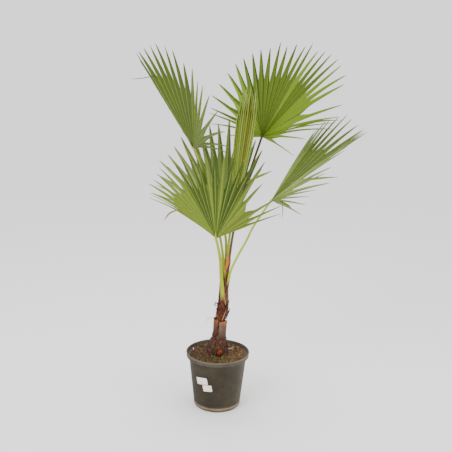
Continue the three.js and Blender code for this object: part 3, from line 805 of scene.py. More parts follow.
def make_pot():
    height, wall, bead, chamfer = POT["height"], POT["wall"], POT["bead"], POT["chamfer"]
    foot, ring, shelf, recess = wall_radius(0), POT["foot_ring"], POT["shelf_radius"], POT["recess"]
    band = POT["rim_radius"] - bead
    outline = rounded([
        (0, recess), (foot - POT["recess_edge"], recess), (foot - POT["recess_foot"], 0),
        (foot - chamfer, 0), (foot, chamfer), (wall_radius(ring) + 1.2, ring),
        (wall_radius(ring + 3), ring + 3), (shelf, SHELF), (band - 1, SHELF + 1), (band, height - 6),
        (band + bead, height - 4), (band + bead, height - 1), (band, height), (band - wall, height),
        (band - wall - 2, SHELF + 5), (shelf - wall, SHELF + 1),
        (wall_radius(wall) - wall, wall), (0, wall),
    ], 1.6)
    lip = max(i for i, (_, z) in enumerate(outline) if z > height - 0.5)
    shell = turned("moulded_pot", outline, 128, [PLASTIC, SHADED_PLASTIC], inner=lip)
    hand_over(shell, "pot_plastic", "pot")


def soil_height(x, y):
    """How far the soil stands above or below its level."""
    rough = noise.noise(Vector((x, y, 0)) * 0.035) * 5 + noise.noise(Vector((x, y, 7)) * 0.11) * 2.6
    mound = 9 * (1 - smooth(48, 85, math.hypot(x, y)))
    return rough * smooth(30, 60, math.hypot(x, y)) + mound + 1 + 9 * smooth(0, 105, y)


def make_soil():
    edge = wall_radius(SHELF) - POT["wall"] - 0.6
    floor = POT["wall"] + 0.5
    top = [edge * (1 - i / 44) for i in range(44)]
    profile = [(0, floor), (wall_radius(floor) - POT["wall"] - 0.5, floor)]
    profile += [(radius, SOIL_LEVEL) for radius in top] + [(0, SOIL_LEVEL + 4)]

    def waves(spot):
        if spot.z < SOIL_LEVEL - 1:
            return spot
        return Vector((spot.x, spot.y, SOIL_LEVEL + soil_height(spot.x, spot.y)))

    soil = turned("potting_soil", profile, 96, [EARTH], waves)
    cover_mesh(soil.data, lambda p: p.z > SOIL_LEVEL - 8 and 38 < math.hypot(p.x, p.y) < edge - 3)
    bits = []
    for index, (look, density, small, large) in enumerate((
        (CHIP_DARK, 26000, 0.5, 1.5), (CHIP_PALE, 9000, 0.4, 1.2), (EARTH, 16000, 0.4, 1.3),
    )):
        bit, seed = bark_bit(index, look), 11 + index
        bits.append(scattered("bits", soil.data, look, bit, density, seed, small, large, 0.7))
    hand_over(soil, "bark_soil", "soil")
    hand_over(join("bark_bits", bits), "bark_soil")

    def mossy(p):
        near = 1 - smooth(30, 62, math.hypot(p.x + 22, p.y + 55))
        thick = smooth(0, 0.35, noise.noise(Vector((p.x, p.y, 3)) * 0.05) + 0.25 * near)
        return thick * near if p.z > SOIL_LEVEL - 8 else 0

    patch = soil.data.copy()
    cover_mesh(patch, mossy)
    hand_over(scattered("moss", patch, MOSS, moss_tuft(), 60000, 5, 0.5, 1.3, 0.5), "bark_soil")


def bark_bit(seed, look):
    """A flat splinter of bark with uneven sides, about 7 mm long."""
    rings = []
    for j, x in enumerate((-3.5, -2, 0.4, 2.4, 3.6)):
        width = (0.7, 1.5, 1.8, 1.3, 0.5)[j] * (1 + 0.3 * jitter(j, seed))
        high = (0.3, 0.7, 0.8, 0.6, 0.25)[j] * (1 + 0.3 * jitter(j + 9, seed))
        rings.append([(x, width, high), (x, -width, high * 0.8), (x, -width * 1.1, -high), (x, width, -high)])
    faces = [tuple(reversed(face)) for face in skin(rings)]
    return piece("bark bit", flat(rings), faces, [look])


def moss_tuft():
    """A few small leaves that spread from one point."""
    points, faces = [], []
    leaves = 5
    for i in range(leaves):
        turn = math.tau * i / leaves + 0.4
        out = level(turn)
        side = level(turn + math.pi / 2) * 0.5
        start = len(points)
        bend = out * 1.4 + UP * 1.6
        points += [side * 0.6, -side * 0.6, bend - side, bend + side, out * 2.2 + UP * 2.2]
        faces += [(start, start + 1, start + 2, start + 3), (start + 3, start + 2, start + 4)]
    return piece("tuft", points, faces, [MOSS])


def on_soil(x, y, lift=0):
    """The point of the soil's surface at a place, lifted."""
    return Vector((x, y, SOIL_LEVEL + soil_height(x, y) + lift))


def make_flake():
    """The white flake that stands in the soil near the pot's wall."""
    def rim(share, angle):
        tilt = math.pi * lerp(1, 7, share) / 8
        way = level(angle) * math.sin(tilt) - UP * math.cos(tilt)
        lump = 1 + 0.16 * noise.noise(way * 1.7)
        return on_soil(-117, 42, 7) + way * Vector((2.8, 2.2, 8.5)) * lump

    hand_over(ringed("white_flake", rings_of(6, 12, rim), [FLAKE]), "bark_soil")


def make_twig():
    """A small forked twig, lying aslant. Each of its points has a place on the soil and a lift."""
    main = [on_soil(*spot) for spot in ((47, 44, 5), (55, 50, 6), (63, 57, 7), (72, 64, 8), (77, 67, 9))]
    fork = [on_soil(*spot) for spot in ((63, 56, 7), (69, 54, 6), (75, 52, 4))]
    hand_over(join("twig", [
        tube("twig main", main, (1.7, 1.9, 1.6, 1.3, 0.6), TWIG),
        tube("twig fork", fork, (1.1, 0.9, 0.5), TWIG),
    ]), "bark_soil")


def make_sprouts():
    """Seedling blades beside the stem."""
    blades = []
    for index, (x, y) in enumerate(((23, -51), (27, -50), (-24, -53), (-30, -49), (18, -54), (-18, -56))):
        foot = on_soil(x, y)
        way = Vector((jitter(index, 3) * 5, jitter(index, 4) * 4, 14 + 3 * jitter(index, 5)))
        side = Vector((1.1, 0.3, 0))
        waist = foot + way * 0.6
        points = [foot - side * 0.5, foot + side * 0.5, waist + side, waist - side, foot + way]
        blades.append(piece("sprout %d" % index, points, [(0, 1, 2, 3), (3, 2, 4)], [SPROUT], thick=0.3))
    hand_over(join("sprouts", blades), "bark_soil")


def make_label(spec):
    """A blank label pressed on the wall, with one corner that lifts."""
    columns, rows = 20, 10
    turn = math.radians(spec["tilt"])
    points, uvs = [], []
    for j in range(rows + 1):
        for i in range(columns + 1):
            right, high = 2 * i / columns - 1, 2 * j / rows - 1
            trim = 1 - 0.02 * (abs(right) * abs(high)) ** 8
            across, up = right * trim * spec["width"] / 2, high * trim * spec["height"] / 2
            along_wall = across * math.cos(turn) - up * math.sin(turn)
            z = spec["z"] + across * math.sin(turn) + up * math.cos(turn)
            wave = 0.15 * noise.noise(Vector((right * 3, high * 2, 0)))
            radius = wall_radius(z) + 0.7 + spec["peel"] * smooth(1.3, 2, right + high) + wave
            angle = math.radians(spec["heading"]) + along_wall / wall_radius(spec["z"])
            points.append(level(angle) * radius + UP * z)
            uvs.append((i / columns, j / rows))
    faces = grid_faces(rows, columns)
    label = piece("paper_" + spec["name"], points, faces, [PAPER], uvs=uvs, thick=0.3)
    hand_over(label, "label_paper", spec["name"])


# ---- trunk, cut leaf bases and sheath ----


def stem_at(stations, z):
    """Centre and half widths of the stem at a height."""
    for low, high in zip(stations, stations[1:]):
        if z <= high[0] or high is stations[-1]:
            share = min(1, max(0, (z - low[0]) / (high[0] - low[0])))
            return [lerp(a, b, share) for a, b in zip(low[1:], high[1:])]


def around(z, angle, out):
    """The point of the stem's surface at a height and heading, moved out by a distance."""
    x, y, rx, ry = stem_at(TRUNK if z < TRUNK_TOP else SHEATH, z)
    return Vector((x + (rx + out) * math.cos(angle), y + (ry + out) * math.sin(angle), z))


def make_trunk():
    """Fibrous bark with upright furrows, swelling into lobes where the roots begin."""
    def bark(share, angle):
        z = lerp(TRUNK[0][0], TRUNK_TOP, share)
        fade = max(0, 1 - (z - SOIL_LEVEL) / 60)
        way = level(angle)
        lobe = 5 * fade * math.sin(5 * angle + 0.6)
        furrow = 1.9 * noise.noise(way * 5 + UP * z * 0.035)
        ripple = 0.9 * noise.noise(way * 16 + UP * z * 0.03)
        lump = 2.6 * fade * noise.noise(way * 3 + UP * z * 0.09)
        return around(min(z, TRUNK_TOP - 0.1), angle, lobe + furrow + ripple + lump - 0.8)

    trunk = ringed("barked_trunk", rings_of(84, 132, bark), [BARK])
    cover_mesh(trunk.data, lambda p: 1 if p.z < 330 else 0.25)
    hair, brown = fibre_bit(13, 0.35, FIBRE), fibre_bit(10, 0.5, BARK)
    mats = [
        scattered("dark mat", trunk.data, FIBRE, hair, 9000, 3, 0.5, 1.3, 0.55),
        scattered("brown mat", trunk.data, BARK, brown, 22000, 4, 0.5, 1.5, 0.5),
    ]
    hand_over(trunk, "trunk_bark", "trunk")
    hand_over(join("trunk_fibres", mats), "trunk_bark")


def make_roots():
    """Root tips that break through the bark low down: a few stout red ones and many fine ones."""
    roots = []
    for index, (x, z, length, lean) in enumerate((
        (7, 281, 12, -0.35), (12, 284, 14, 0.1), (17, 280, 10, 0.5), (10, 275, 11, -0.1),
    )):
        foot = around(z, math.atan2(-44, x), -2)
        tip = foot + Vector((lean * length, -9, -length))
        middle = (foot + tip) / 2 + Vector((0, -3.5, 3))
        roots.append(tube("root %d" % index, (foot, middle, tip), (4.2, 3.8, 1.3), ROOT))
    for index, (x, z) in enumerate(((9, 321), (15, 317))):
        foot = around(z, math.atan2(-38, x), -2)
        path = (foot, foot + Vector((0, -5, -2)), foot + Vector((2 - index, -6, -8)))
        roots.append(tube("root spot %d" % index, path, (4.4, 3.8, 1.2), OLD_ROOT))
    for index in range(64):
        heading = index * GOLDEN_ANGLE
        z = 254 + 82 * (index * 0.618 % 1)
        foot = around(z, heading, -3)
        way = level(heading) - UP * (0.9 + 0.5 * jitter(index, 12))
        reach = 9 + 4 * jitter(index, 13)
        path = (foot, foot + way * reach * 0.6 + UP * 2, foot + way * reach)
        pale = (foot.x < -15 or foot.x > 30) and index % 3 == 0
        width = 1.1 if pale else 2.5
        radii = (width, width * 0.8, width * 0.3)
        roots.append(tube("rootlet %d" % index, path, radii, PALE_SHEATH if pale else BARK, 6))
    hand_over(join("root_tips", roots), "trunk_bark")


def fibre_bit(length, radius, look):
    """A short bent hair that grows along +Z from the origin."""
    path = [(0.25 * length * (s - 0.1) ** 2, 0, length * s - 2) for s in (0, 0.25, 0.5, 0.75, 1)]
    return tube("hair", path, [radius * r for r in (1, 1, 0.8, 0.6, 0.15)], look, 4)


def make_cut_base(spec):
    """A leaf base cut square: thick in the middle, thin at its margins, with a pale cut face."""
    across, steps = 36, 18
    rings = []
    for j in range(steps + 1):
        share = j / steps
        z = lerp(spec["foot"], spec["cut"], share)
        grow = lerp(0.45, 1, share)
        inner, outer = [], []
        for i in range(across + 1):
            side = 2 * i / across - 1
            angle = math.radians(spec["heading"] + side * spec["sweep"] * lerp(0.6, 1, grow))
            way = level(angle) * 9 + UP * z * 0.02
            relief = 0.8 * noise.noise(way) + 0.4 * noise.noise(way * 3)
            thick = spec["thick"] * grow * (1 - side * side) ** 0.8
            top = 0
            if share == 1:
                top = 1.6 * noise.noise(Vector((side * 4, spec["heading"], 0))) - 5 * side ** 4
            inner.append(around(z, angle, 1.4) + UP * top)
            outer.append(around(z, angle, 2.2 + thick + relief * share) + UP * top)
        rings.append(outer + inner[::-1])
    count = len(rings[0])
    faces = skin(rings, cap=False)
    slots = [0] * len(faces)
    top = steps * count
    for i in range(across):
        faces.append((i + 1, i, count - 1 - i, count - 2 - i))
        faces.append((top + i, top + i + 1, top + count - 2 - i, top + count - 1 - i))
        slots += [0, 1]
    # The right base's paler copy of the finish is a painted highlight.
    rind = BOOT if spec["name"] == "cut_base_left" else LIT_BOOT
    base = piece("worn_" + spec["name"], flat(rings), faces, [rind, CUT], slots)
    hand_over(base, "cut_leaf_base", spec["name"])


# The sheath's wraps: heading, half sweep, foot, top, distance out at foot and top, how pointed, and kind.
WRAPS = [
    (95, 95, 428, 560, 1.0, 3.0, 0.5, "dark"),
    (185, 70, 426, 538, 1.5, 2.5, 0.7, "red"),
    (-18, 62, 428, 505, 1.5, 3.5, 0.6, "dark"),
    (-100, 46, 426, 522, 2.8, 9.5, 0.9, "red"),
    (-30, 30, 430, 482, 2.6, 4.5, 0.5, "dark"),
    (-8, 34, 470, 524, 2.0, 6.0, 0.5, "rosy"),
    (30, 80, 470, 640, 1.2, 2.5, 0.8, "red"),
    (-20, 60, 500, 606, 1.6, 3.6, 0.6, "dark"),
    (150, 80, 500, 662, 1.4, 2.4, 0.7, "dark"),
    (-55, 34, 505, 618, 2.4, 3.0, 0.6, "rosy"),
    (80, 85, 560, 700, 1.2, 2.6, 0.7, "papery"),
    (-40, 50, 600, 690, 0.8, 1.4, 0.8, "rosy"),
    (-64, 32, 648, 748, 1.2, 0.6, 0.7, "papery"),
    (200, 60, 590, 690, 1.0, 2.0, 0.8, "pale"),
    (-5, 36, 640, 724, 1.4, 1.6, 0.9, "rosy"),
]
WRAP_LOOKS = {
    "dark": DARK_SHEATH, "red": RED_SHEATH, "rosy": ROSE_SHEATH, "papery": PAPERY_SHEATH, "pale": PALE_SHEATH,
}


def make_sheath():
    """The column of old leaf bases: a core, the wraps that clasp it and short dark hair over both."""
    def core(share, angle):
        z = lerp(TRUNK_TOP - 3, SHEATH[-1][0] - 6, share)
        return around(z, angle, 1.2 * noise.noise(level(angle) * 7 + UP * z * 0.02) - 1.5)

    parts = [ringed("core", rings_of(48, 64, core), [DARK_SHEATH])]
    parts += [wrap(index, WRAP_LOOKS[kind], *shape) for index, (*shape, kind) in enumerate(WRAPS)]
    sheath = join("clasping_bases", parts)
    cover_mesh(sheath.data, lambda p: 1)
    hair = fibre_bit(15, 0.3, FIBRE)
    hand_over(sheath, "old_leaf_base", "leaf_sheath")
    mat = scattered("sheath_fibres", sheath.data, FIBRE, hair, 2200, 8, 0.4, 1.2, 0.4)
    hand_over(mat, "old_leaf_base")


def wrap(index, look, heading, sweep, foot, top, low, high, pointed):
    """One old leaf base that clasps the stem, with a pointed and ragged upper edge."""
    across, steps = 22, 16
    points, uvs = [], []
    for j in range(steps + 1):
        share = j / steps
        for i in range(across + 1):
            side = 2 * i / across - 1
            peak = 1 - pointed * 0.45 * abs(side) ** 1.6
            ragged = 1 + 0.05 * noise.noise(Vector((side * 7, index * 3.1, 0)))
            z = foot + (top - foot) * share * peak * ragged
            angle = math.radians(heading + side * sweep * (1 - 0.25 * share))
            ripple = 0.9 * noise.noise(Vector((side * 6, index, share * 2)))
            limit = min(z, SHEATH[-1][0])
            spot = around(limit, angle, lerp(low, high, share ** 2) + ripple)
            points.append(spot + UP * (z - limit))
            uvs.append((side * 0.5 + 0.5, share))
    return piece("wrap %d" % index, points, grid_faces(steps, across), [look], uvs=uvs, thick=1.1)


def strand(label, look, stations):
    """A strand through points that each have its radius there as a fourth number."""
    return tube(label, [station[:3] for station in stations], [station[3] for station in stations], look)


def strip(label, look, stations):
    """A strand along the stem, through heights, headings, distances out and radii."""
    spots = [around(z, math.radians(heading), out) for z, heading, out, _ in stations]
    return tube(label, spots, [station[3] for station in stations], look)


def make_strands():
    """The loose fibres and scraps that stand out from the old leaf bases."""
    curl = []
    for i in range(19):
        turn = -0.2 + i * 0.34
        reach = 7.2 - 0.1 * i
        spot = (-12 + reach * math.cos(turn), -17 - i * 0.4, 503 + reach * math.sin(turn))
        curl.append((*spot, 3 - 0.006 * i * i))
    strands = [
        strand("curl", FIBRE, curl),
        strand("hook", FIBRE, (
            (33, -12, 440, 3.2), (41, -14, 450, 3.2), (47, -14, 462, 2.9),
            (51, -13, 474, 2.4), (50, -12, 482, 1.6), (46, -12, 483, 0.7),
        )),
    ]
    for index, (x, z) in enumerate(((-7, 478), (-17, 434), (35, 455))):
        strands.append(strand("scrap %d" % index, FIBRE, (
            (x + 8, -20, z - 8, 3.6), (x + 2, -22, z - 1, 4.2),
            (x - 3, -21, z + 5, 2.6), (x - 6, -19, z + 6, 0.8),
        )))
    strands += [
        strip("split strip", ORANGE_STRIP, (
            (427, -78, 6, 2.2), (445, -72, 6.5, 2.3), (463, -64, 6.5, 1.9), (482, -55, 6, 0.6),
        )),
        strip("straw strip", STRAW, (
            (556, -82, 4, 1.4), (535, -79, 7, 2.4), (517, -74, 9, 2.3), (500, -67, 9, 0.7),
        )),
        strip("grey strip", GREY_STRIP, (
            (431, -54, 5, 2.6), (450, -49, 6, 3), (468, -42, 6, 2.2), (482, -37, 5, 0.7),
        )),
        strand("wisp", ORANGE_STRIP, (
            (-2, -20, 436, 2), (-8, -20, 448, 1.8), (-11, -19, 460, 1.2), (-10, -18, 468, 0.4),
        )),
        strand("pale", PALE_FIBRE, (
            (-16, -20, 431, 0.9), (-26, -22, 437, 0.8), (-38, -22, 439, 0.7),
            (-48, -20, 434, 0.7), (-53, -18, 424, 0.6), (-54, -17, 412, 0.3),
        )),
        strand("pale fork", PALE_FIBRE, ((-44, -21, 438, 0.6), (-50, -24, 430, 0.5), (-50, -25, 420, 0.3))),
    ]
    for index in range(16):
        heading = math.radians(index * 137.5)
        foot = around(432 + index * 15, heading, 1)
        way = level(heading)
        path = (foot, foot + way * 4 + UP * 10, foot + way * (8 + 3 * jitter(index, 2)) + UP * 18,
                foot + way * 13 + UP * (16 + 6 * jitter(index, 6)))
        look = FIBRE if index % 3 else PALE_FIBRE
        strands.append(tube("loose %d" % index, path, (0.7, 0.6, 0.5, 0.2), look, 5))
    hand_over(join("loose_strands", strands), "old_leaf_base")


# ---- leaf stalks ----


def aim(spec):
    """The fan's own directions: along its midrib, out to its right-hand side, and off its upper face."""
    heading, rise = math.radians(spec["heading"]), math.radians(spec["rise"])
    along = level(heading) * math.cos(rise) + UP * math.sin(rise)
    face = UP * math.cos(rise) - level(heading) * math.sin(rise)
    roll = Matrix.Rotation(math.radians(-spec["roll"]), 3, along)
    side, face = roll @ along.cross(face), roll @ face
    swing = Matrix.Rotation(math.radians(-spec["swing"]), 3, face)
    return swing @ along, swing @ side, face


class Curve:
    """A smooth curve through points, walked by its length."""

    def __init__(self, points):
        ends = [2 * points[0] - points[1], 2 * points[-1] - points[-2]]
        chain = [ends[0], *points, ends[1]]
        self.places = []
        for p0, p1, p2, p3 in zip(chain, chain[1:], chain[2:], chain[3:]):
            d0, d1, d2 = ((b - a).length ** 0.5 for a, b in ((p0, p1), (p1, p2), (p2, p3)))
            t1 = ((p1 - p0) / d0 - (p2 - p0) / (d0 + d1) + (p2 - p1) / d1) * d1
            t2 = ((p2 - p1) / d1 - (p3 - p1) / (d1 + d2) + (p3 - p2) / d2) * d1
            for step in range(CURVE_STEPS):
                t = step / CURVE_STEPS
                self.places.append(
                    p1 + t1 * t + (3 * (p2 - p1) - 2 * t1 - t2) * t ** 2 + (2 * (p1 - p2) + t1 + t2) * t ** 3
                )
        self.places.append(points[-1])
        self.lengths = [0]
        for a, b in zip(self.places, self.places[1:]):
            self.lengths.append(self.lengths[-1] + (b - a).length)

    def at(self, share):
        """The point at a share of the length, and the direction there."""
        goal = share * self.lengths[-1]
        index = 0
        while index < len(self.places) - 2 and self.lengths[index + 1] < goal:
            index += 1
        a, b = self.places[index], self.places[index + 1]
        part = (goal - self.lengths[index]) / (self.lengths[index + 1] - self.lengths[index])
        return a.lerp(b, part), (b - a).normalized()


def make_stalk(spec):
    """One leaf stalk: hollowed above and round below, with spines along its lower margins."""
    size = {"husk": 0, **STALKS[spec["name"]]}
    along, _, face = aim(spec)
    hub = Vector(spec["hub"])
    path = [Vector(size["root"])] + [Vector(p) for p in size["path"]] + [hub - along * 4]
    curve = Curve(path)
    rooted = 1 - Curve(path[1:]).lengths[-1] / curve.lengths[-1]
    rings, margins = [], []

    def ring(centre, across, above, width, depth):
        rings.append([centre + across * (x * width / 2) + above * (y * depth / 2) for x, y in STALK_SIDES])

    steps = 54
    for j in range(steps + 1):
        share = j / steps
        centre, way = curve.at(share)
        free = max(0, (share - rooted) / (1 - rooted))
        thicken = (1 - free) ** STALK_TAPER * (1 - 0.25 * smooth(rooted, 0, share))
        width = lerp(size["end"], size["base"], thicken) * (1 + 0.012 * jitter(j, 5))
        depth = lerp(size["end"], size["depth"], thicken)
        across = way.cross(face).normalized()
        above = across.cross(way).normalized()
        ring(centre, across, above, width, depth)
        if 0.04 < free < 0.8:
            margins.append((centre, across, above, way, width, depth, free))
    # It runs on under the blade as a tapering tongue.
    for share in (0, 0.35, 0.7, 1):
        shrink = size["end"] * (1 - 0.9 * share)
        sink = -0.35 * size["end"] * (1 - 0.4 * share)
        ring(hub + along * (4 + 42 * share) + face * sink, along.cross(face), face, shrink, shrink * 2 / 3)
    sides = len(STALK_SIDES)
    slots = [1 if i % sides in STALK_MARGINS else 0 for i in range((len(rings) - 1) * sides)] + [0, 0]
    body, foot, rim, neck = STALK_COLOURS[spec["name"]]
    start = size["path"][0][2] + size["husk"]
    looks = [
        stalk_finish(spec["name"] + " stalk", body, foot, neck, start, hub.z),
        stalk_finish(spec["name"] + " stalk edge", rim, rim, neck, start, hub.z),
    ]
    stalk = ringed("frond_rind_" + spec["name"], rings, looks, slots)
    hand_over(stalk, "leaf_stalk", "stalk_" + spec["name"])
    if spec["name"] != "spear":
        hand_over(make_spines(spec["name"], margins), "leaf_stalk")


def stalk_finish(name, code, foot, neck, start, end):
    """Smooth rind: the foot's colour above its start, brown below it, and the neck's colour near its end."""
    finish = Finish(name, 0.45, 0.2)
    grain = finish.noise(finish.place(scale=(6, 6, 1)), 40, 4)
    blotch = finish.noise(finish.place(), 14, 3)
    green = finish.mix(finish.along(UPRIGHT, start + 150, start), code, foot)
    green = finish.mix(finish.along(UPRIGHT, end - 110, end - 25), green, neck)
    green = finish.mix(grain, green, finish.mix(0.5, green, darker(code, 1.3)))
    green = finish.mix(blotch, green, finish.mix(0.3, green, "#5a4a1c"))
    finish.colour(finish.mix(finish.along(UPRIGHT, start + 14, start - 22), green, "#56302a"))
    finish.roughness(grain, 0.35, 0.55)
    finish.relief(grain, 0.2, 0.4)
    return finish.material


def make_spines(name, margins):
    """Spines on both margins, larger and closer towards the stalk's foot."""
    points, outward, grow = [], [], []
    for index, (centre, across, above, way, width, depth, free) in enumerate(margins):
        for side in (-1, 1):
            if jitter(index, side + 7) < lerp(-0.9, 0.1, free):
                continue
            points.append((centre + across * side * (width / 2) + above * depth * 0.1) * MM)
            outward.append(across * side + way * (0.25 + 0.2 * jitter(index, side + 2)) + above * 0.15)
            grow.append(lerp(1.25, 0.5, free) * (1 + 0.25 * jitter(index, side + 4)))
    mesh = bpy.data.meshes.new("margin")
    mesh.from_pydata(points, [], [])
    directions = mesh.attributes.new("outward", "FLOAT_VECTOR", "POINT")
    directions.data.foreach_set("vector", flat(outward))
    sizes = mesh.attributes.new("grow", "FLOAT", "POINT")
    sizes.data.foreach_set("value", grow)
    return grown("spines_" + name, mesh, SPINES, THORN, **SPINE)


# ---- leaf blades ----


def ray_at(fan, turn):
    """Direction, upper face, length and droop of the fan at a turn from its midrib, negative on the left."""
    half = fan["left"] if turn < 0 else fan["right"]
    sign = -1 if turn < 0 else 1
    place = abs(turn) / half["spread"]
    along, side, face = fan["aim"]
    fold = math.radians(half["fold"] + half["curl"] * place ** 2)
    outward = side * (sign * math.cos(fold)) + face * math.sin(fold)
    angle = math.radians(abs(turn))
    direction = along * math.cos(angle) + outward * math.sin(angle)
    upper = outward.cross(along) * sign
    fall = (1 + half["swell"] - half["end"]) * place ** half["power"]
    length = fan["length"] * (1 + half["swell"] * place - fall)
    return direction, upper, length, half["droop"] * place ** 2 + fan["bow"]


def sheet_point(fan, turn, distance, lift, extra=0):
    """A point of the fan's sheet at a distance from the hub, lifted along its upper face."""
    _, _, length, droop = ray_at(fan, turn)
    share = distance / length
    direction, upper, _, _ = ray_at(fan, turn * (1 - fan["gather"] * share))
    return fan["hub"] + direction * distance - UP * ((droop * share ** 2 + extra) * length) + upper * lift


def half_of(fan, half):
    """One half's segments from the midrib outward: spacing, turns, outer edges, cleft shares, reaches."""
    step = (half["even"] or half["spread"]) / half["count"]
    loose = [item if isinstance(item, tuple) else (item, 1) for item in half["loose"]]
    turns = [(i + 0.5) * step for i in range(half["count"])] + [turn for turn, _ in loose]
    reaches = [1] * half["count"] + [reach for _, reach in loose]
    edges = [(turn + after) / 2 for turn, after in zip(turns, turns[1:] + [turns[-1] + step])]
    shares = []
    for i, edge in enumerate(edges):
        if half["loose"]:
            fade = (max(0, i + 2 - half["count"]) / (len(half["loose"]) + 1)) ** half["parting"]
        else:
            fade = smooth(0.6, 1, edge / half["spread"])
        shares.append(lerp(fan["united"], fan["united_end"], fade))
    return step, turns, edges, shares, reaches


def plan_fan(spec, seed):
    """The fan with its segments from left to right: turns and tips, and the edges and clefts between."""
    fan = {**FAN, **spec, "hub": Vector(spec["hub"])}
    fan["left"] = {**HALF, **spec["left"]}
    fan["right"] = {**HALF, **spec["right"]}
    fan["aim"] = aim(fan)
    left, right = half_of(fan, fan["left"]), half_of(fan, fan["right"])
    fan["steps"] = (left[0], right[0])
    fan["turns"] = [-turn for turn in reversed(left[1])] + right[1]
    fan["edges"] = [-edge for edge in reversed(left[2])] + [0] + right[2]
    shares = left[3][::-1] + [fan["united"]] + right[3]
    reaches = left[4][::-1] + right[4]
    fan["clefts"] = [
        fan["depth"] * share * (1 + CLEFT_JITTER * jitter(k, seed)) * ray_at(fan, edge)[2]
        for k, (edge, share) in enumerate(zip(fan["edges"], shares))
    ]
    fan["tips"] = [
        ray_at(fan, turn)[2] * (1 + TIP_JITTER * jitter(k + 0.5, seed)) * reach
        for k, (turn, reach) in enumerate(zip(fan["turns"], reaches))
    ]
    return fan


def step_at(fan, turn):
    """How far the segments stand apart on that side of the fan, in degrees."""
    return fan["steps"][0 if turn < 0 else 1]


def ridge(fan, turn):
    """How far a pleat's margins stand up from the sheet, and its rib down, by millimetres from the hub."""
    return fan["pleat"] * 0.5 * math.radians(step_at(fan, turn))


# The rows of a segment: each point with its share across the segment and its distance from the hub.


def margin_column(fan, k):
    """Up the joined margin between segments k - 1 and k."""
    turn = fan["edges"][k]
    distances = [lerp(fan["collar"], fan["clefts"][k], j / UNITED_ROWS) for j in range(UNITED_ROWS + 1)]
    return [(sheet_point(fan, turn, out, ridge(fan, turn) * out), 0, out) for out in distances]


def united_row(fan, k, share):
    """Across the joined part of a segment between its margins."""
    turn, clefts = fan["turns"][k], fan["clefts"]
    rib_cleft = (clefts[k] + clefts[k + 1]) / 2
    row = []
    for s in ACROSS[1:-1]:
        near = k if s < 0 else k + 1
        distance = lerp(fan["collar"], lerp(rib_cleft, clefts[near], abs(s)), share)
        lift = ridge(fan, turn) * distance * (2 * abs(s) - 1)
        spot = sheet_point(fan, turn + (fan["edges"][near] - turn) * abs(s), distance, lift)
        row.append((spot, s * 0.5 + 0.5, distance))
    return row


def free_row(fan, k, share, sag, sway):
    """Across the free part of a segment, which narrows, flattens, sags and sways towards its tip."""
    turn, clefts = fan["turns"][k], fan["clefts"]
    rib_cleft = (clefts[k] + clefts[k + 1]) / 2
    widest = step_at(fan, turn) / 2 * FREE_WIDTH
    taper = 1 - 0.9 * share ** 1.4
    row = []
    for s in ACROSS:
        near = k if s < 0 else k + 1
        start = lerp(rib_cleft, clefts[near], abs(s))
        distance = lerp(start, fan["tips"][k], share)
        half = fan["edges"][near] - turn
        narrow = math.copysign(min(abs(half), widest), half)
        half = lerp(half, narrow, smooth(0, 0.25, share)) * abs(s)
        turned_to = turn + half * (start / distance) * taper + sway * share ** 2
        lift = ridge(fan, turn) * rib_cleft * taper * (2 * abs(s) - 1)
        spot = sheet_point(fan, turned_to, distance, lift, sag * share ** 2)
        row.append((spot, s * 0.5 + 0.5, distance))
    return row


def make_blade(spec, seed):
    """One blade: segments joined out to the clefts, free beyond them, each pleated along its rib."""
    fan = plan_fan(spec, seed)
    points, uvs, faces, slots = [], [], [], []

    def put(spots):
        """Adds the points to the blade and gives their numbers."""
        for point, across, distance in spots:
            points.append(point)
            uvs.append((across, distance / LEAF_PER_UV))
        return list(range(len(points) - len(spots), len(points)))

    steps = len(ACROSS) - 1
    before = put(margin_column(fan, 0))
    for k, (turn, tip) in enumerate(zip(fan["turns"], fan["tips"])):
        after = put(margin_column(fan, k + 1))
        grid = [
            [before[j], *put(united_row(fan, k, j / UNITED_ROWS)), after[j]] for j in range(UNITED_ROWS + 1)
        ]
        sag, sway = SAG * (1 + jitter(k, seed + 20)), SWAY * jitter(k, seed + 30)
        grid += [put(free_row(fan, k, j / FREE_ROWS, sag, sway)) for j in range(1, FREE_ROWS)]
        point = put([(sheet_point(fan, turn + sway, tip, 0, sag), 0.5, tip)])[0]
        dry = jitter(k, seed + 40) - (0.4 if turn < 0 else 0)
        # Segments within those turns take the paler green: painted light where the blade turns to the light.
        painted_lit = any(low <= turn <= high for low, high in fan["painted_lit"])
        shade = LIT if painted_lit != (jitter(k, seed + 50) > OTHER_SHADE) else MAIN
        for j, (row, above) in enumerate(zip(grid, grid[1:])):
            for i in range(steps):
                faces.append((row[i], row[i + 1], above[i + 1], above[i]))
                slots.append(zone(fan, k, i, j, len(grid), dry, shade))
        for i in range(steps):
            faces.append((grid[-1][i], grid[-1][i + 1], point))
            slots.append(DRY_TIP if dry > DRY_POINT else shade)
        before = after
    name = "frond_leaf_" + fan["name"]
    blade = piece(name, points, faces, blade_looks(fan), slots, uvs, thick=LEAF_THICK)
    hand_over(blade, "leaf_blade", "blade_" + fan["name"])


def blade_looks(fan):
    """The blade's finishes, each at its place: lit and shaded copies of its greens paint light and shade."""
    main, lit, rib = GREENS[fan["name"]]
    greens = {
        "leaf": main, "leaf shade": darker(main, fan["contrast"]),
        "bright leaf": lit, "bright leaf shade": darker(lit, fan["contrast"] + 0.03), "rib": rib,
    }
    looks = [leaf_finish("%s %s" % (fan["name"], name), code) for name, code in greens.items()]
    return looks + [TIP, BROWN_TIP, STRIPE]


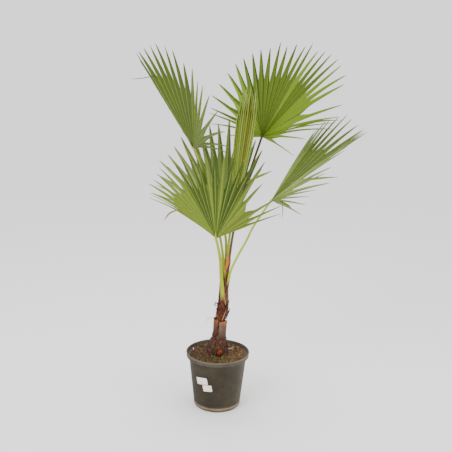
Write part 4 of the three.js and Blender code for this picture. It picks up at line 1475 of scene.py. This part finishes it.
def zone(fan, segment, column, row, rows, dry, shade):
    """Which finish a face of a segment takes: dry tip, streak of the spear, rib or one of the greens."""
    if row > rows - 3 and dry > DRY_END:
        return DEAD_TIP if dry > DEAD_END else DRY_TIP
    if fan["name"] == "spear":
        return SPEAR_STREAKS[segment] if column else MAIN
    if column in (2, 3):
        return RIB if row < rows * 0.75 else shade
    # One side of each pleat takes the darker copy of its green: painted shade.
    if column < 2:
        return shade
    return LIT_SHADE if shade == LIT else MAIN_SHADE


def make_collar(spec):
    """The small papery flap where the stalk meets the blade, on its upper face."""
    along, side, face = aim({**FAN, **spec})
    hub = Vector(spec["hub"])
    columns = 4
    stations = ((-5, 4.5), (1, 5.5), (7, 4.2), (12, 1.2))
    points = []
    for j, (out, wide) in enumerate(stations):
        for i in range(columns + 1):
            s = 2 * i / columns - 1
            lift = 2.4 + 0.18 * j * j + 0.6 * s * s
            points.append(hub + along * (out - 2 * s * s) + side * (s * wide) + face * lift)
    faces = grid_faces(len(stations) - 1, columns)
    hand_over(piece("collar_" + spec["name"], points, faces, [FLAP], thick=0.6), "leaf_blade")


# Narrow leaflets, a short stub and threads that hang apart from the blades: look, widths and path.
STRAYS = {
    "upper_left_thread": ("dry", (2.6, 3.4, 3, 1), (
        (-300, 45, 1534), (-339, 45, 1524), (-374, 45, 1519), (-405, 45, 1517),
    )),
    "front_dry_tip": ("brown", (2, 5, 7, 5, 1), (
        (-172, -130, 972), (-192, -130, 966), (-218, -130, 954), (-233, -130, 936), (-244, -130, 918),
    )),
    "front_leaflet": ("green", (5, 11, 10, 2), (
        (112, -72, 1080), (132, -80, 1098), (179, -85, 1122), (221, -88, 1141),
    )),
    "front_leaflet_left": ("deep", (11, 20, 17, 11, 2), (
        (-46, -190, 1061), (-59, -200, 1114), (-72, -210, 1166), (-83, -218, 1208), (-93, -226, 1251),
    )),
    "right_thread": ("green", (3.5, 3.8, 1.5), ((270, -28, 998), (279, -32, 967), (277, -34, 917))),
    "right_stub": ("deep", (7, 14, 16, 14, 5), (
        (243, -40, 999), (262, -42, 994), (279, -44, 989), (299, -46, 980), (314, -48, 971),
    )),
    "right_leaflet": ("green", (9, 12, 9, 1.5), (
        (300, -32, 1070), (345, -40, 1092), (428, -45, 1106), (515, -50, 1115),
    )),
    "upper_right_leaflet": ("green", (6, 9, 7, 1), (
        (310, 131, 1302), (343, 135, 1314), (439, 140, 1341), (545, 145, 1349),
    )),
}


def make_strays():
    """Each stray a narrow strip with a slight ridge along its middle."""
    looks = {"dry": DRY_THREAD, "brown": BROWN_TIP, "green": STRAY_LEAF, "deep": DEEP_LEAF}
    steps = 16
    for name, (look, widths, path) in STRAYS.items():
        curve = Curve([Vector(point) for point in path])
        points = []
        for j in range(steps + 1):
            centre, way = curve.at(j / steps)
            place = j / steps * (len(widths) - 1)
            index = min(int(place), len(widths) - 2)
            wide = lerp(widths[index], widths[index + 1], place - index) / 2
            side = way.cross(Vector((0, -1, 0))).normalized()
            points += [centre + side * wide, centre + Vector((0, 0.15 * wide, 0)), centre - side * wide]
        hand_over(piece(name, points, grid_faces(steps, 2), [looks[look]], thick=LEAF_THICK), "leaf_blade")


# ---- making it all ----


def make_camera():
    lens = bpy.data.cameras.new("camera")
    lens.lens = CAMERA["lens"]
    camera = placed("camera", lens)
    pitch = Matrix.Rotation(math.pi / 2 - CAMERA["pitch"], 4, "X")
    roll = Matrix.Rotation(CAMERA["roll"], 4, "Z")
    camera.matrix_world = Matrix.Translation(CAMERA["place"]) @ pitch @ roll
    bpy.context.scene.camera = camera


def make_lamp(name, place, size, power):
    lamp = bpy.data.lights.new(name, "AREA")
    lamp.size = size
    lamp.energy = power
    obj = placed(name, lamp)
    obj.location = place
    obj.rotation_euler = (LAMP_TARGET - Vector(place)).to_track_quat("-Z", "Y").to_euler()


def make_studio():
    """A plain white world and floor, and the lamps."""
    world = bpy.data.worlds.new("studio")
    world.use_nodes = True
    sky = world.node_tree.nodes["Background"]
    sky.inputs["Color"].default_value = (1, 1, 1, 1)
    sky.inputs["Strength"].default_value = SKY_STRENGTH
    bpy.context.scene.world = world
    for name, (place, size, power) in LAMPS.items():
        make_lamp(name, place, size, power)
    finish = Finish("floor", 0.9, 0.1)
    finish.colour("#fdfdfd")
    side = FLOOR_REACH
    points = [(-side, -side, 0), (side, -side, 0), (side, side, 0), (-side, side, 0)]
    piece("floor", points, [(0, 1, 2, 3)], [finish.material])


make_camera()
make_studio()
make_pot()
make_soil()
make_flake()
make_twig()
make_roots()
make_sprouts()
for label in LABELS:
    make_label(label)
make_trunk()
for base in CUT_BASES:
    make_cut_base(base)
make_sheath()
make_strands()
for number, leaf in enumerate(FANS):
    make_stalk({**FAN, **leaf})
    make_blade(leaf, number + 1)
    make_collar(leaf)
make_strays()
